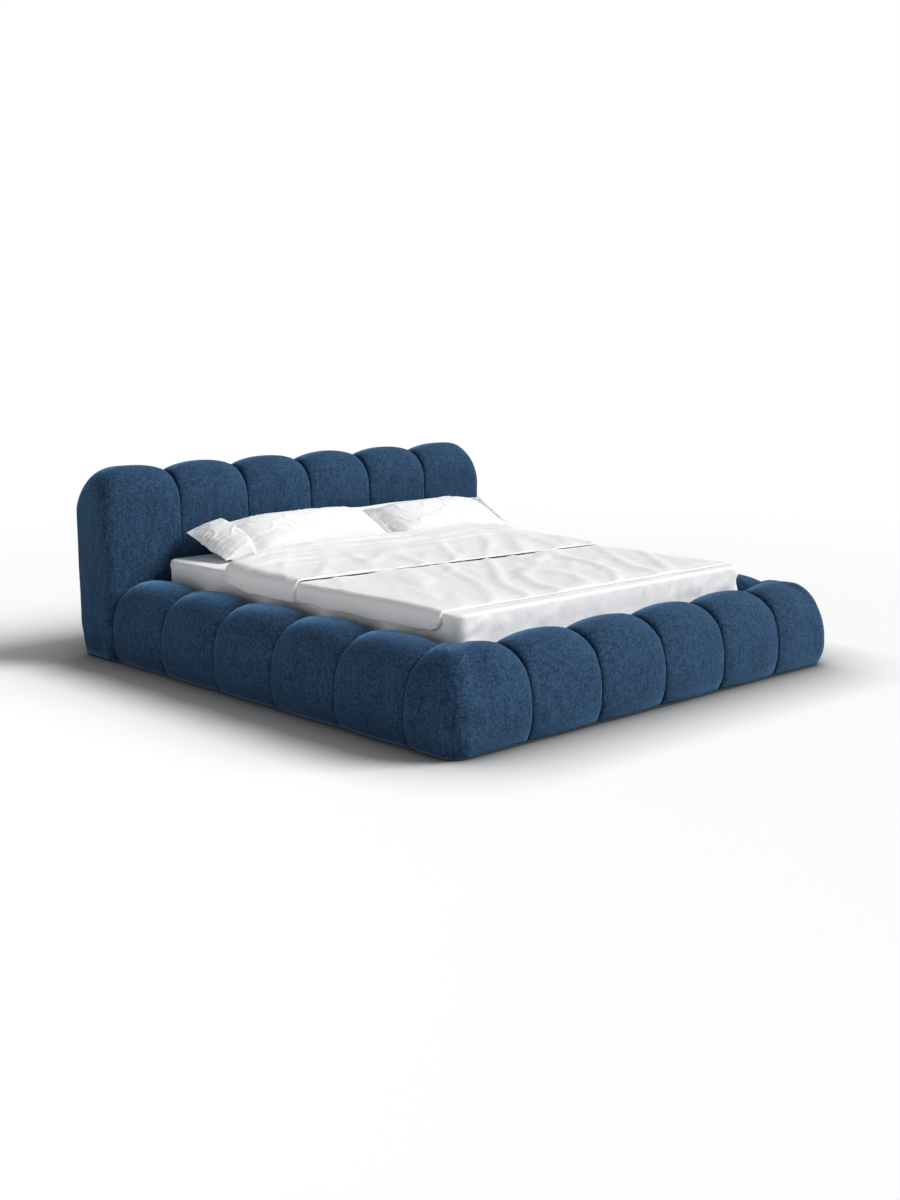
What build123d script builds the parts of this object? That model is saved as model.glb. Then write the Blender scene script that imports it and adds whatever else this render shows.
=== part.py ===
from build123d import *
import math
import os

os.makedirs("parts", exist_ok=True)

# Upholstered storage bed with a lift-up slatted base.
# Millimetres, the origin on the floor under the middle of the bed, +Y towards the head, +Z up.

# Mattress. It sets the width and length of all the rest.
mattress_half_width = 898
mattress_foot_y = -1004
mattress_head_y = 992
mattress_height = 220
mattress_corner_radius = 58
mattress_edge_radius = 14

# Sections of the padding as (depth from the outer seam, height over the glides). The first list
# is the section drawn in by a sewn seam, the second one the full crown in the middle of a panel.
rail_seam_points = [
    (26, 0), (9, 40), (1, 112), (6, 195), (34, 270), (76, 300), (138, 325),
    (170, 330), (205, 323), (245, 300), (270, 264),
]
rail_crown_points = [
    (14, 0), (-4, 38), (-12, 112), (-4, 210), (20, 292), (60, 344), (130, 378),
    (165, 381), (202, 375), (245, 340), (270, 277),
]
head_seam_points = [
    (20, 0), (5, 32), (0, 90), (0, 400), (6, 698), (30, 780), (92, 827),
    (124, 831), (170, 825), (228, 797), (282, 729),
]
head_crown_points = [
    (10, 0), (-6, 30), (-10, 90), (-12, 400), (-5, 715), (26, 838), (92, 888),
    (124, 892), (170, 886), (228, 858), (282, 787),
]
panel_shares = (0, 0.04, 0.14, 0.32, 0.5, 0.68, 0.86, 0.96, 1)
crown_power = 2.4

# Outer sizes that follow from the mattress and the depth of the padding
floor_level = 0
glide_height = 8
mattress_side_play = 17
mattress_foot_play = 22
mattress_head_play = 34
rail_bulge = 12
head_bulge = 12
panel_gap = 0.3
head_gap = 0.6
rail_depth = rail_seam_points[-1][0]
head_depth = head_seam_points[-1][0]
box_half_width = mattress_half_width + mattress_side_play
rail_seam_half_width = box_half_width + rail_depth
foot_inner_y = mattress_foot_y - mattress_foot_play
foot_seam_y = foot_inner_y - rail_depth
head_seam_y = mattress_head_y + mattress_head_play
head_crown_y = head_seam_y - head_bulge
side_head_y = head_crown_y - head_gap
head_back_y = head_seam_y + head_depth
side_panel_count = 5
across_panel_count = 6

# Foot corner panel: distances from the front seam with their fullness, then angles around the
# inner corner of the box with theirs.
corner_front_length = 131
corner_radius = 85
corner_inner_radius = 1
corner_front_distances = (0, 14, 48, 100, 131)
corner_front_shares = (0, 0.46, 0.72, 0.92, 0.98)
corner_turn_angles = (10, 20, 30, 38, 45, 52, 60, 68, 76, 84, 88, 90)
corner_turn_shares = (1, 1, 1, 1, 1, 1, 1, 0.97, 0.86, 0.7, 0.46, 0)
corner_dome_drops = (0, 1, 3, 5, 6, 5, 3, 1, 0, 0, 0, 0)
corner_draw_share = 4.5
top_start_number = 7
panel_seam_x = (box_half_width - corner_front_length) / 2

# Headboard end panel: place along its length, fullness, drop of the top, inset of both faces
headboard_end_length = corner_front_length + rail_depth + rail_bulge
headboard_end_shares = (0, 0.039, 0.136, 0.293, 0.487, 0.668, 0.789, 0.874, 0.935, 0.973, 0.993, 1)
headboard_full_shares = (0, 0.46, 0.73, 0.93, 1, 1, 1, 1, 1, 1, 1, 1)
headboard_end_drops = (0, 0, 0, 0, 1, 6, 17, 32, 56, 86, 116, 142)
headboard_end_insets = (0, 0, 0, 0, 0, 0, 0, 2, 9, 20, 34, 48)

# Boards of the box
board_thickness = 18
board_top = 262
bottom_board_thickness = 12
bottom_board_inset = 40
bottom_board_half_width = rail_seam_half_width - bottom_board_inset
bottom_board_foot_y = foot_seam_y + bottom_board_inset
back_board_inset = 95
back_board_half_width = rail_seam_half_width - back_board_inset
cut_play = 5
back_board_top = 710
floor_thickness = 8
floor_rabbet = 9
centre_board_thickness = 18
ledge_depth = 30
ledge_height = 40
ledge_top = 200
ledge_end_distance = 1300
side_ledge_head_y = head_crown_y - ledge_end_distance
head_beam_depth = 86
head_beam_y = head_seam_y - head_beam_depth
centre_low_drop = 15
centre_low_length = 380

# Glides under the rails, the headboard and the centre board
glide_radius = 22
glide_rail_inset = 145
side_glide_inset = 226
centre_glide_inset = 326
glide_rail_x = rail_seam_half_width - glide_rail_inset
glide_foot_y = foot_seam_y + glide_rail_inset
glide_head_y = head_back_y - glide_rail_inset

# Black strip under the rim of the padding
strip_inset = 14
strip_width = 40
strip_bottom = 2
strip_corner_radius = 70

# Corner brackets and bolts
bracket_thickness = 3
bracket_leg = 40
bracket_bottom = 60
bracket_top = 140
bolt_radius = 3
bolt_head_radius = 7
bolt_head_height = 4
bolt_inset = 23
bolt_low = 80
bolt_high = 120

# Lift linkage. Distances along the bed are measured from the front of the headboard, and the
# pieces lie side by side from the board of the box inwards.
front_arm_base_u = 1203.6
front_arm_base_z = 54.9
rear_arm_base_u = 919.9
rear_arm_base_z = 150.1
front_arm_lift_u = 660.6
front_arm_lift_z = 142.5
rear_arm_lift_u = 560.8
rear_arm_lift_z = 191.7
strut_base_u = 627.8
strut_base_z = 50
strut_lift_u = 446.2
strut_lift_z = 191.1
arm_thickness = 3
arm_play = 0.3
upper_play = 1.4
upper_plate_thickness = 4
pivot_head_thickness = 3
plate_inner_x = box_half_width - bracket_thickness
rear_arm_outer_x = plate_inner_x - arm_play
rear_arm_inner_x = rear_arm_outer_x - arm_thickness
front_arm_outer_x = rear_arm_inner_x - arm_play
front_arm_inner_x = front_arm_outer_x - arm_thickness
upper_outer_x = front_arm_inner_x - upper_play
upper_inner_x = upper_outer_x - upper_plate_thickness
base_head_outer_x = front_arm_inner_x - arm_play
base_head_inner_x = base_head_outer_x - pivot_head_thickness
front_arm_half_width = 15
rear_arm_half_width = 13
pivot_radius = 5
pivot_play = 0.3
base_head_radius = 9
open_pin_radius = 4
open_bore_radius = 7.2
lower_plate_outline = [
    (600, 38), (1248, 38), (1248, 78), (985, 92), (950, 172), (890, 172), (855, 92), (600, 78),
]
upper_plate_outline = [
    (415, 228), (720, 228), (690, 128), (635, 124), (580, 170), (430, 176), (415, 196),
]
plate_bolt_spots = [(690, 60), (760, 60), (1060, 47), (1236, 58)]
upper_bolt_spots = [(440, 215), (520, 215), (600, 215), (695, 215)]
upper_bolt_length = 24

# Gas springs
strut_gap = 12
strut_width = 8
strut_stud_overhang = 4
strut_outer_x = upper_inner_x - strut_gap
strut_inner_x = strut_outer_x - strut_width
strut_stud_inner_x = strut_inner_x - strut_stud_overhang
strut_stud_radius = 4
strut_eye_radius = 9
cylinder_radius = 11
cylinder_bore_radius = 5.3
cylinder_start = 16
cylinder_end = 178
cylinder_bore_start = 24
cylinder_neck_radius = 5
gas_rod_radius = 5
gas_rod_start = 28
rod_eye_radius = 7.8
rod_eye_bore_radius = 5.1
rod_stud_radius = 3

# Lift-up slatted base
base_half_width = upper_inner_x
base_rail_width = 30
base_rail_height = 30
base_rail_bottom = ledge_top
base_rail_top = base_rail_bottom + base_rail_height
base_end_inset = 28
base_head_y = mattress_head_y - base_end_inset
base_foot_y = mattress_foot_y + base_end_inset
slat_thickness = 10
slat_width = 55
slat_count = 22
slat_end_gap = 4
slat_first_inset = 36
slat_first_y = base_foot_y + slat_first_inset
slat_last_y = base_head_y - slat_first_inset
stop_bar_radius = 4
stop_bar_play = 8.5
stop_bar_y = mattress_foot_y - stop_bar_play
stop_bar_half_width = 300
stop_bar_rise = 15
stop_bar_height = 115
stop_bar_bend = 20
stop_bar_low_z = base_rail_bottom + stop_bar_rise
stop_bar_top_z = stop_bar_low_z + stop_bar_height

# Bedding
mattress_bottom = base_rail_top + slat_thickness
mattress_top = mattress_bottom + mattress_height
sheet_thickness = 2
sheet_hem_rise = 6
sheet_top = mattress_top + sheet_thickness
sheet_side = mattress_half_width + sheet_thickness
cover_gap = 0.3
duvet_thickness = 13
duvet_right_inset = 26
duvet_right_x = mattress_half_width - duvet_right_inset
duvet_side_thickness = 14
duvet_bend_radius = 30
duvet_foot_inset = 59
duvet_head_inset = 337
fold_back_length = 775
duvet_foot_y = mattress_foot_y + duvet_foot_inset
duvet_head_y = mattress_head_y - duvet_head_inset
fold_line_y = duvet_head_y - fold_back_length
duvet_shares = (0, 0.055, 0.224, 0.418, 0.612, 0.794, 1)
duvet_hem_drops = (48, 78, 82, 76, 81, 76, 79)
duvet_waves = (1, 4, 10, 3, 10, 3, 9)
duvet_slants = (-15, -20, -35, -50, -60, -70, -77)
duvet_lifts = (0, 2, 5, 6, 6, 4, 0)
fold_back_shares = (0, 0.206, 0.413, 0.645, 0.8, 1)
fold_back_hem_drops = (79, 75, 79, 71, 38, 16)
fold_back_waves = (9, 3, 9, 4, 3, 2)
fold_back_slants = (-77, -60, -40, -20, 0, 0)
fold_back_lifts = (14, 20, 27, 32, 34, 26)

# Pillows: the middle as (x, distance from the head of the mattress, height over the sheet), and
# the angles of tilt and turn
pillow_half_length = 420
pillow_half_depth = 168
pillow_half_thickness = 64
pillow_end_half_depth = 158
pillow_end_half_thickness = 8
pillow_shares = (-1, -0.96, -0.8, -0.45, 0, 0.45, 0.8, 0.96, 1)
pillow_power = 3
left_back_pillow_spot = (-352, 190, 70)
left_back_pillow_angles = (22, 2)
right_back_pillow_spot = (500, 190, 70)
right_back_pillow_angles = (22, -2)
left_front_pillow_spot = (-205, 220, 99)
left_front_pillow_angles = (26, 1)
right_front_pillow_spot = (648, 222, 99)
right_front_pillow_angles = (26, -2)
pillow_lean_distance = 217
pillow_lean_rise = 82
pillow_lean_angle = 24
pillow_end_play = 12
pillow_rest_z = sheet_top + cover_gap
pillow_lean_y = mattress_head_y - pillow_lean_distance
pillow_lean_z = sheet_top + pillow_lean_rise
half_space = 2000


def along(distance):
    """The y of a point a distance from the front of the headboard."""
    return head_crown_y - distance


def block(low_x, high_x, low_y, high_y, low_z, high_z):
    size = Box(high_x - low_x, high_y - low_y, high_z - low_z, align=(Align.MIN, Align.MIN, Align.MIN))
    return Pos(low_x, low_y, low_z) * size


def plate(outline, low_x, high_x):
    """A flat plate across X from an outline of (distance from the headboard, height)."""
    corners = [Vector(low_x, along(far), high) for far, high in outline]
    face = make_face(Polyline(*corners, close=True))
    return extrude(face, amount=high_x - low_x, dir=(1, 0, 0))


def prism(outline, low_z, high_z):
    """An upright prism from an outline of (x, y)."""
    corners = [Vector(x, y, low_z) for x, y in outline]
    face = make_face(Polyline(*corners, close=True))
    return extrude(face, amount=high_z - low_z, dir=(0, 0, 1))


def cross_rod(distance, high, radius, low_x, high_x):
    """A round piece along X."""
    start = Plane(origin=(low_x, along(distance), high), z_dir=(1, 0, 0))
    return start * Cylinder(radius, high_x - low_x, align=(Align.CENTER, Align.CENTER, Align.MIN))


def rod_along(start, direction, low, high, radius):
    """A round piece on a slanted line, from low to high along it."""
    point = start + direction * low
    base = Plane(origin=point, z_dir=direction)
    return base * Cylinder(radius, high - low, align=(Align.CENTER, Align.CENTER, Align.MIN))


def mirrored(shape):
    return mirror(shape, about=Plane.YZ)


def single(shape):
    """The one solid that a cut leaves."""
    found = shape.solids()
    found.sort(key=lambda solid: solid.volume)
    return found[-1]


def write(name, *shapes):
    found = []
    for shape in shapes:
        found.extend(shape.solids())
    if len(found) == 1:
        export_step(found[0], f"parts/{name}.step")
    else:
        export_step(Compound(found), f"parts/{name}.step")


# Padding

def fullness(share):
    """How far a panel has risen from its seam, 0 at the seam and 1 in the middle."""
    near = min(share, 1 - share)
    return (1 - (1 - 2 * near) ** crown_power) ** (1 / crown_power)


def blended(seam_points, crown_points, full):
    """The section of a panel at a fullness, as (depth, height over the floor)."""
    points = []
    for seam, crown in zip(seam_points, crown_points):
        depth = seam[0] + (crown[0] - seam[0]) * full
        rise = seam[1] + (crown[1] - seam[1]) * full
        points.append((depth, rise + glide_height))
    return points


def section_wire(points, base_in):
    """A closed section from eleven points on its curve and the inner point of its base."""
    edges = []
    for first in range(0, 10, 2):
        edges.append(ThreePointArc(points[first], points[first + 1], points[first + 2]))
    edges.append(Line(points[10], base_in))
    edges.append(Line(base_in, points[0]))
    return Wire(edges)


def padded(seam_points, crown_points, depth, stations, place):
    """One panel of padding lofted through its sections. Stations are (position, fullness)."""
    wires = []
    for spot, full in stations:
        points = [place(spot, *point) for point in blended(seam_points, crown_points, full)]
        wires.append(section_wire(points, place(spot, depth, glide_height)))
    return Solid.make_loft(wires, False)


def left_side_place(spot, depth, high):
    return Vector(-rail_seam_half_width + depth, spot, high)


def foot_place(spot, depth, high):
    return Vector(spot, foot_seam_y + depth, high)


def head_place(spot, depth, high):
    return Vector(spot, head_seam_y + depth, high)


def panel_stations(start, end):
    return [(start + (end - start) * share, fullness(share)) for share in panel_shares]


# Boards that the padding is fixed to

floor_panel = block(
    -box_half_width - floor_rabbet, box_half_width + floor_rabbet,
    foot_inner_y - floor_rabbet, head_seam_y + floor_rabbet,
    glide_height, glide_height + floor_thickness,
)
board_outer = box_half_width + board_thickness
left_side_board = block(-board_outer, -box_half_width, foot_inner_y, head_seam_y, glide_height, board_top)
foot_board = block(
    -board_outer, board_outer, foot_inner_y - board_thickness, foot_inner_y, glide_height, board_top
)
head_end_board = block(
    -board_outer, board_outer, head_seam_y, head_seam_y + board_thickness, glide_height, board_top
)
back_board = block(
    -back_board_half_width, back_board_half_width,
    head_back_y - board_thickness, head_back_y, glide_height, back_board_top,
)
bottom_board_top = glide_height + bottom_board_thickness
left_bottom_board = block(
    -bottom_board_half_width, -board_outer,
    foot_inner_y - board_thickness, head_seam_y + board_thickness, glide_height, bottom_board_top,
)
foot_bottom_board = block(
    -bottom_board_half_width, bottom_board_half_width,
    bottom_board_foot_y, foot_inner_y - board_thickness, glide_height, bottom_board_top,
)
head_bottom_board = block(
    -bottom_board_half_width, bottom_board_half_width,
    head_seam_y + board_thickness, head_back_y - board_thickness, glide_height, bottom_board_top,
)
right_bottom_board = mirrored(left_bottom_board)

box_cutter = block(
    -board_outer, board_outer, foot_inner_y - board_thickness, head_seam_y + board_thickness,
    floor_level, board_top,
)
back_cutter = block(
    -back_board_half_width, back_board_half_width,
    head_back_y - board_thickness, head_back_y + cut_play, floor_level, back_board_top,
)
left_side_cutters = [box_cutter, left_bottom_board]
foot_cutters = [box_cutter, foot_bottom_board, left_bottom_board, right_bottom_board]
head_cutters = [box_cutter, back_cutter, head_bottom_board, left_bottom_board, right_bottom_board]

# Corner brackets with their bolts, bolted through the boards from inside the box


def corner_bracket(side, end_y, inward):
    """Angle bracket in one inner corner. inward is the way into the box along Y."""
    wall = side * box_half_width
    along_side = block(
        min(wall, wall - side * bracket_thickness), max(wall, wall - side * bracket_thickness),
        min(end_y, end_y + inward * bracket_leg), max(end_y, end_y + inward * bracket_leg),
        bracket_bottom, bracket_top,
    )
    along_end = block(
        min(wall, wall - side * bracket_leg), max(wall, wall - side * bracket_leg),
        min(end_y, end_y + inward * bracket_thickness), max(end_y, end_y + inward * bracket_thickness),
        bracket_bottom, bracket_top,
    )
    return along_side + along_end


def bolt(point, direction, length):
    """A bolt whose head stands on the face at point. direction is the way it is driven."""
    way = Vector(*direction)
    start = Vector(*point)
    head = rod_along(start, way, -bolt_head_height, 0, bolt_head_radius)
    shank = rod_along(start, way, 0, length, bolt_radius)
    return head + shank


frame_bolt_length = bracket_thickness + board_thickness
bracket_inner_x = box_half_width - bracket_thickness
corner_brackets = []
frame_bolts = []
for side in (-1, 1):
    for end_y, inward in ((foot_inner_y, 1), (head_seam_y, -1)):
        corner_brackets.append(corner_bracket(side, end_y, inward))
        for high in (bolt_low, bolt_high):
            side_point = (side * bracket_inner_x, end_y + inward * bolt_inset, high)
            frame_bolts.append(bolt(side_point, (side, 0, 0), frame_bolt_length))
            end_x = side * (box_half_width - bolt_inset)
            end_point = (end_x, end_y + inward * bracket_thickness, high)
            frame_bolts.append(bolt(end_point, (0, -inward, 0), frame_bolt_length))
    for far, high in plate_bolt_spots:
        plate_point = (side * bracket_inner_x, along(far), high)
        frame_bolts.append(bolt(plate_point, (side, 0, 0), frame_bolt_length))

corner_brackets = [single(bracket - frame_bolts) for bracket in corner_brackets]
left_side_board = single(left_side_board - floor_panel - frame_bolts)
right_side_board = mirrored(left_side_board)
foot_board = single(foot_board - floor_panel - frame_bolts)
head_end_board = single(head_end_board - floor_panel - frame_bolts)
write("corner_brackets", *corner_brackets)
write("frame_bolts", *frame_bolts)
write("left_side_board", left_side_board)
write("right_side_board", right_side_board)
write("foot_board", foot_board)
write("head_end_board", head_end_board)
write("headboard_back_board", back_board)
write("bottom_boards", left_bottom_board, right_bottom_board, foot_bottom_board, head_bottom_board)
write("storage_floor", floor_panel)

# Headboard end panel: its top falls and its faces draw in towards the end


def headboard_end_panel():
    wires = []
    full_height = max(rise for depth, rise in head_crown_points)
    stations = zip(headboard_end_shares, headboard_full_shares, headboard_end_drops, headboard_end_insets)
    for share, full, drop, inset in stations:
        x = corner_seam_x - headboard_end_length * share
        narrow_share = (head_depth - inset * 2) / head_depth
        points = []
        for depth, high in blended(head_seam_points, head_crown_points, full):
            low = drop * (high - glide_height) / full_height
            points.append(head_place(x, inset + depth * narrow_share, high - low))
        wires.append(section_wire(points, head_place(x, head_depth - inset, glide_height)))
    return Solid.make_loft(wires, False)


corner_seam_x = -panel_seam_x * 2
head_end_panel = single(headboard_end_panel() - head_cutters)
write("headboard_cushion_1", head_end_panel)
write("headboard_cushion_6", mirrored(head_end_panel))

# Panels of the two side rails

side_pitch = (side_head_y - foot_inner_y) / side_panel_count
for number in range(side_panel_count):
    start = foot_inner_y + side_pitch * number
    stations = panel_stations(start, start + side_pitch)
    panel = padded(rail_seam_points, rail_crown_points, rail_depth, stations, left_side_place)
    panel = single(panel - left_side_cutters)
    write(f"left_side_cushion_{number + 1}", panel)
    write(f"right_side_cushion_{number + 1}", mirrored(panel))

# Corner panels of the foot rail, which turn the corner of the box and close in a dome


def corner_section(outer, way, slope_share, length, full, dome_drop):
    """A section from a point on the outer outline towards the inner corner of the box."""
    stretch = length - corner_inner_radius - rail_depth
    full_height = max(rise for depth, rise in rail_crown_points)
    points = []
    for number, (depth, high) in enumerate(blended(rail_seam_points, rail_crown_points, full)):
        if number < top_start_number:
            reach = depth * slope_share
        else:
            reach = depth + stretch
        high_share = (high - glide_height) / full_height
        if number < top_start_number:
            reach += dome_drop * corner_draw_share * high_share ** 4 * (1 - reach / length)
        low = dome_drop * high_share
        points.append(Vector(outer.X + way.X * reach, outer.Y + way.Y * reach, high - low))
    end = length - corner_inner_radius
    return section_wire(points, Vector(outer.X + way.X * end, outer.Y + way.Y * end, glide_height))


half_turn_angle = math.radians(45)
full_turn_angle = math.radians(90)


def outline_reach(angle):
    """From the inner corner of the box to the rounded outer outline, and the slant of the ray."""
    square = rail_depth - corner_radius
    off = angle - half_turn_angle
    flat = min(angle, full_turn_angle - angle)
    if math.tan(flat) * rail_depth <= square:
        return rail_depth / math.cos(flat), 1 / math.cos(flat)
    centre = square / math.cos(half_turn_angle)
    chord = math.sqrt(corner_radius ** 2 - (centre * math.sin(off)) ** 2)
    return centre * math.cos(off) + chord, corner_radius / chord


corner_wires = []
for distance, full in zip(corner_front_distances, corner_front_shares):
    outer = Vector(corner_seam_x - distance, foot_seam_y, floor_level)
    corner_wires.append(corner_section(outer, Vector(0, 1, 0), 1, rail_depth, full, floor_level))
for degrees, full, drop in zip(corner_turn_angles, corner_turn_shares, corner_dome_drops):
    angle = math.radians(degrees)
    reach, slope_share = outline_reach(angle)
    way = Vector(math.sin(angle), math.cos(angle), 0)
    outer = Vector(-box_half_width - way.X * reach, foot_inner_y - way.Y * reach, floor_level)
    corner_wires.append(corner_section(outer, way, slope_share, reach, full, drop))
past_front_seam = block(
    corner_seam_x - panel_gap, floor_level, foot_seam_y - rail_depth, head_seam_y, floor_level, back_board_top
)
past_side_seam = block(
    -head_back_y, head_back_y, foot_inner_y - panel_gap, head_seam_y, floor_level, back_board_top
)
corner_cutters = foot_cutters + [past_front_seam, past_side_seam]
corner_panel = single(Solid.make_loft(corner_wires, False) - corner_cutters)
write("foot_cushion_1", corner_panel)
write("foot_cushion_6", mirrored(corner_panel))

# Straight panels of the foot rail and of the headboard

for number in range(1, across_panel_count - 1):
    start = corner_seam_x + panel_seam_x * (number - 1)
    stations = panel_stations(start, start + panel_seam_x)
    panel = padded(rail_seam_points, rail_crown_points, rail_depth, stations, foot_place)
    write(f"foot_cushion_{number + 1}", single(panel - foot_cutters))
    panel = padded(head_seam_points, head_crown_points, head_depth, stations, head_place)
    write(f"headboard_cushion_{number + 1}", single(panel - head_cutters))

# Ledges that the slatted base lies on, centre board and glides

left_ledge = block(
    -box_half_width, -box_half_width + ledge_depth,
    foot_inner_y + ledge_depth, side_ledge_head_y, ledge_top - ledge_height, ledge_top,
)
foot_ledge = block(
    -box_half_width, box_half_width,
    foot_inner_y, foot_inner_y + ledge_depth, ledge_top - ledge_height, ledge_top,
)
head_beam = block(
    -box_half_width, box_half_width, head_beam_y, head_seam_y, ledge_top - ledge_height, ledge_top
)
floor_top = glide_height + floor_thickness
half_centre = centre_board_thickness / 2
centre_board = block(-half_centre, half_centre, foot_inner_y, head_seam_y, floor_top, ledge_top)
centre_board = centre_board - foot_ledge - head_beam
low_part = block(
    -half_centre, half_centre, head_beam_y - centre_low_length, head_beam_y,
    ledge_top - centre_low_drop, ledge_top,
)
centre_board = single(centre_board - low_part)
write("support_ledges", left_ledge, mirrored(left_ledge), foot_ledge, head_beam)
write("centre_board", centre_board)
glide_spots = [
    (glide_rail_x, foot_inner_y + side_glide_inset), (glide_rail_x, floor_level),
    (glide_rail_x, head_seam_y - side_glide_inset), (-glide_rail_x, foot_inner_y + side_glide_inset),
    (-glide_rail_x, floor_level), (-glide_rail_x, head_seam_y - side_glide_inset),
    (glide_rail_x, glide_foot_y), (floor_level, glide_foot_y), (-glide_rail_x, glide_foot_y),
    (glide_rail_x, glide_head_y), (floor_level, glide_head_y), (-glide_rail_x, glide_head_y),
    (floor_level, foot_inner_y + centre_glide_inset), (floor_level, floor_level),
    (floor_level, head_seam_y - centre_glide_inset),
]
glides = []
for x, y in glide_spots:
    spot = Vector(x, y, floor_level)
    glides.append(rod_along(spot, Vector(0, 0, 1), floor_level, glide_height, glide_radius))
write("floor_glides", *glides)

# Black strip under the rim of the padding, seen as a thin dark line above the floor


def strip_outline(inset, radius):
    low_y = foot_seam_y + inset
    high_y = head_back_y - inset
    half_x = rail_seam_half_width - inset
    ring = block(-half_x, half_x, low_y, high_y, strip_bottom, glide_height)
    return fillet(ring.edges().filter_by(Axis.Z), radius)


strip_inner_inset = strip_inset + strip_width
strip_ring = strip_outline(strip_inset, strip_corner_radius)
strip_ring -= strip_outline(strip_inner_inset, strip_corner_radius - strip_width)
foot_strip_y = foot_seam_y + strip_inner_inset
head_strip_y = head_back_y - strip_inner_inset
foot_strip = strip_ring & block(
    -rail_seam_half_width, rail_seam_half_width, foot_seam_y, foot_strip_y, floor_level, glide_height
)
head_strip = strip_ring & block(
    -rail_seam_half_width, rail_seam_half_width, head_strip_y, head_back_y, floor_level, glide_height
)
left_strip = strip_ring & block(
    -rail_seam_half_width, floor_level, foot_strip_y, head_strip_y, floor_level, glide_height
)
write("base_strip", foot_strip, head_strip, left_strip, mirrored(left_strip))

# Lift linkage on the right side, mirrored to the left

lower_bracket = plate(lower_plate_outline, plate_inner_x, box_half_width)
lower_bracket = lower_bracket - frame_bolts
lower_bracket += cross_rod(
    front_arm_base_u, front_arm_base_z, pivot_radius, base_head_outer_x, plate_inner_x
)
lower_bracket += cross_rod(
    front_arm_base_u, front_arm_base_z, base_head_radius, base_head_inner_x, base_head_outer_x
)
lower_bracket += cross_rod(
    rear_arm_base_u, rear_arm_base_z, pivot_radius, rear_arm_inner_x, plate_inner_x
)
lower_bracket += cross_rod(strut_base_u, strut_base_z, strut_stud_radius, strut_stud_inner_x, plate_inner_x)
upper_bolts = []
upper_bracket = plate(upper_plate_outline, upper_inner_x, upper_outer_x)
for far, high in upper_bolt_spots:
    head_point = (upper_outer_x, along(far), high)
    upper_bolts.append(bolt(head_point, (-1, 0, 0), upper_bolt_length))
upper_bracket = upper_bracket - upper_bolts
upper_bracket += cross_rod(
    front_arm_lift_u, front_arm_lift_z, pivot_radius, upper_outer_x, front_arm_outer_x
)
upper_bracket += cross_rod(
    rear_arm_lift_u, rear_arm_lift_z, open_pin_radius, upper_outer_x, rear_arm_outer_x
)
upper_bracket += cross_rod(strut_lift_u, strut_lift_z, rod_stud_radius, strut_stud_inner_x, upper_inner_x)


def arm(start, end, inner_x, half_width, start_bore, end_bore):
    """A flat bar with round ends and a bore in each."""
    outer_x = inner_x + arm_thickness
    span = Vector(0, along(end[0]) - along(start[0]), end[1] - start[1])
    middle = Vector(inner_x, (along(start[0]) + along(end[0])) / 2, (start[1] + end[1]) / 2)
    base = Plane(origin=middle, x_dir=span, z_dir=(1, 0, 0))
    bar = base * extrude(SlotCenterToCenter(span.length, half_width * 2), amount=arm_thickness)
    bar -= cross_rod(start[0], start[1], start_bore, inner_x, outer_x)
    bar -= cross_rod(end[0], end[1], end_bore, inner_x, outer_x)
    return single(bar)


bore = pivot_radius + pivot_play
front_arm = arm(
    (front_arm_base_u, front_arm_base_z), (front_arm_lift_u, front_arm_lift_z),
    front_arm_inner_x, front_arm_half_width, bore, bore,
)
rear_arm = arm(
    (rear_arm_base_u, rear_arm_base_z), (rear_arm_lift_u, rear_arm_lift_z),
    rear_arm_inner_x, rear_arm_half_width, bore, open_bore_radius,
)

strut_middle_x = (strut_inner_x + strut_outer_x) / 2
strut_base = Vector(strut_middle_x, along(strut_base_u), strut_base_z)
strut_lift = Vector(strut_middle_x, along(strut_lift_u), strut_lift_z)
strut_length = (strut_lift - strut_base).length
strut_way = (strut_lift - strut_base).normalized()
cylinder = cross_rod(strut_base_u, strut_base_z, strut_eye_radius, strut_inner_x, strut_outer_x)
cylinder += rod_along(strut_base, strut_way, floor_level, cylinder_start, cylinder_neck_radius)
cylinder -= cross_rod(
    strut_base_u, strut_base_z, strut_stud_radius + pivot_play, strut_stud_inner_x, upper_inner_x
)
cylinder += rod_along(strut_base, strut_way, cylinder_start, cylinder_end, cylinder_radius)
cylinder -= rod_along(strut_base, strut_way, cylinder_bore_start, cylinder_end, cylinder_bore_radius)
gas_rod = cross_rod(strut_lift_u, strut_lift_z, rod_eye_radius, strut_inner_x, strut_outer_x)
gas_rod += rod_along(strut_base, strut_way, gas_rod_start, strut_length, gas_rod_radius)
gas_rod -= cross_rod(strut_lift_u, strut_lift_z, rod_eye_bore_radius, strut_stud_inner_x, upper_inner_x)

for name, shape in (
    ("lower_bracket", lower_bracket), ("upper_bracket", upper_bracket), ("front_arm", front_arm),
    ("rear_arm", rear_arm), ("gas_cylinder", cylinder), ("gas_rod", gas_rod),
):
    write(f"{name}_right", single(shape))
    write(f"{name}_left", mirrored(single(shape)))

# Slatted base that lifts

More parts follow.
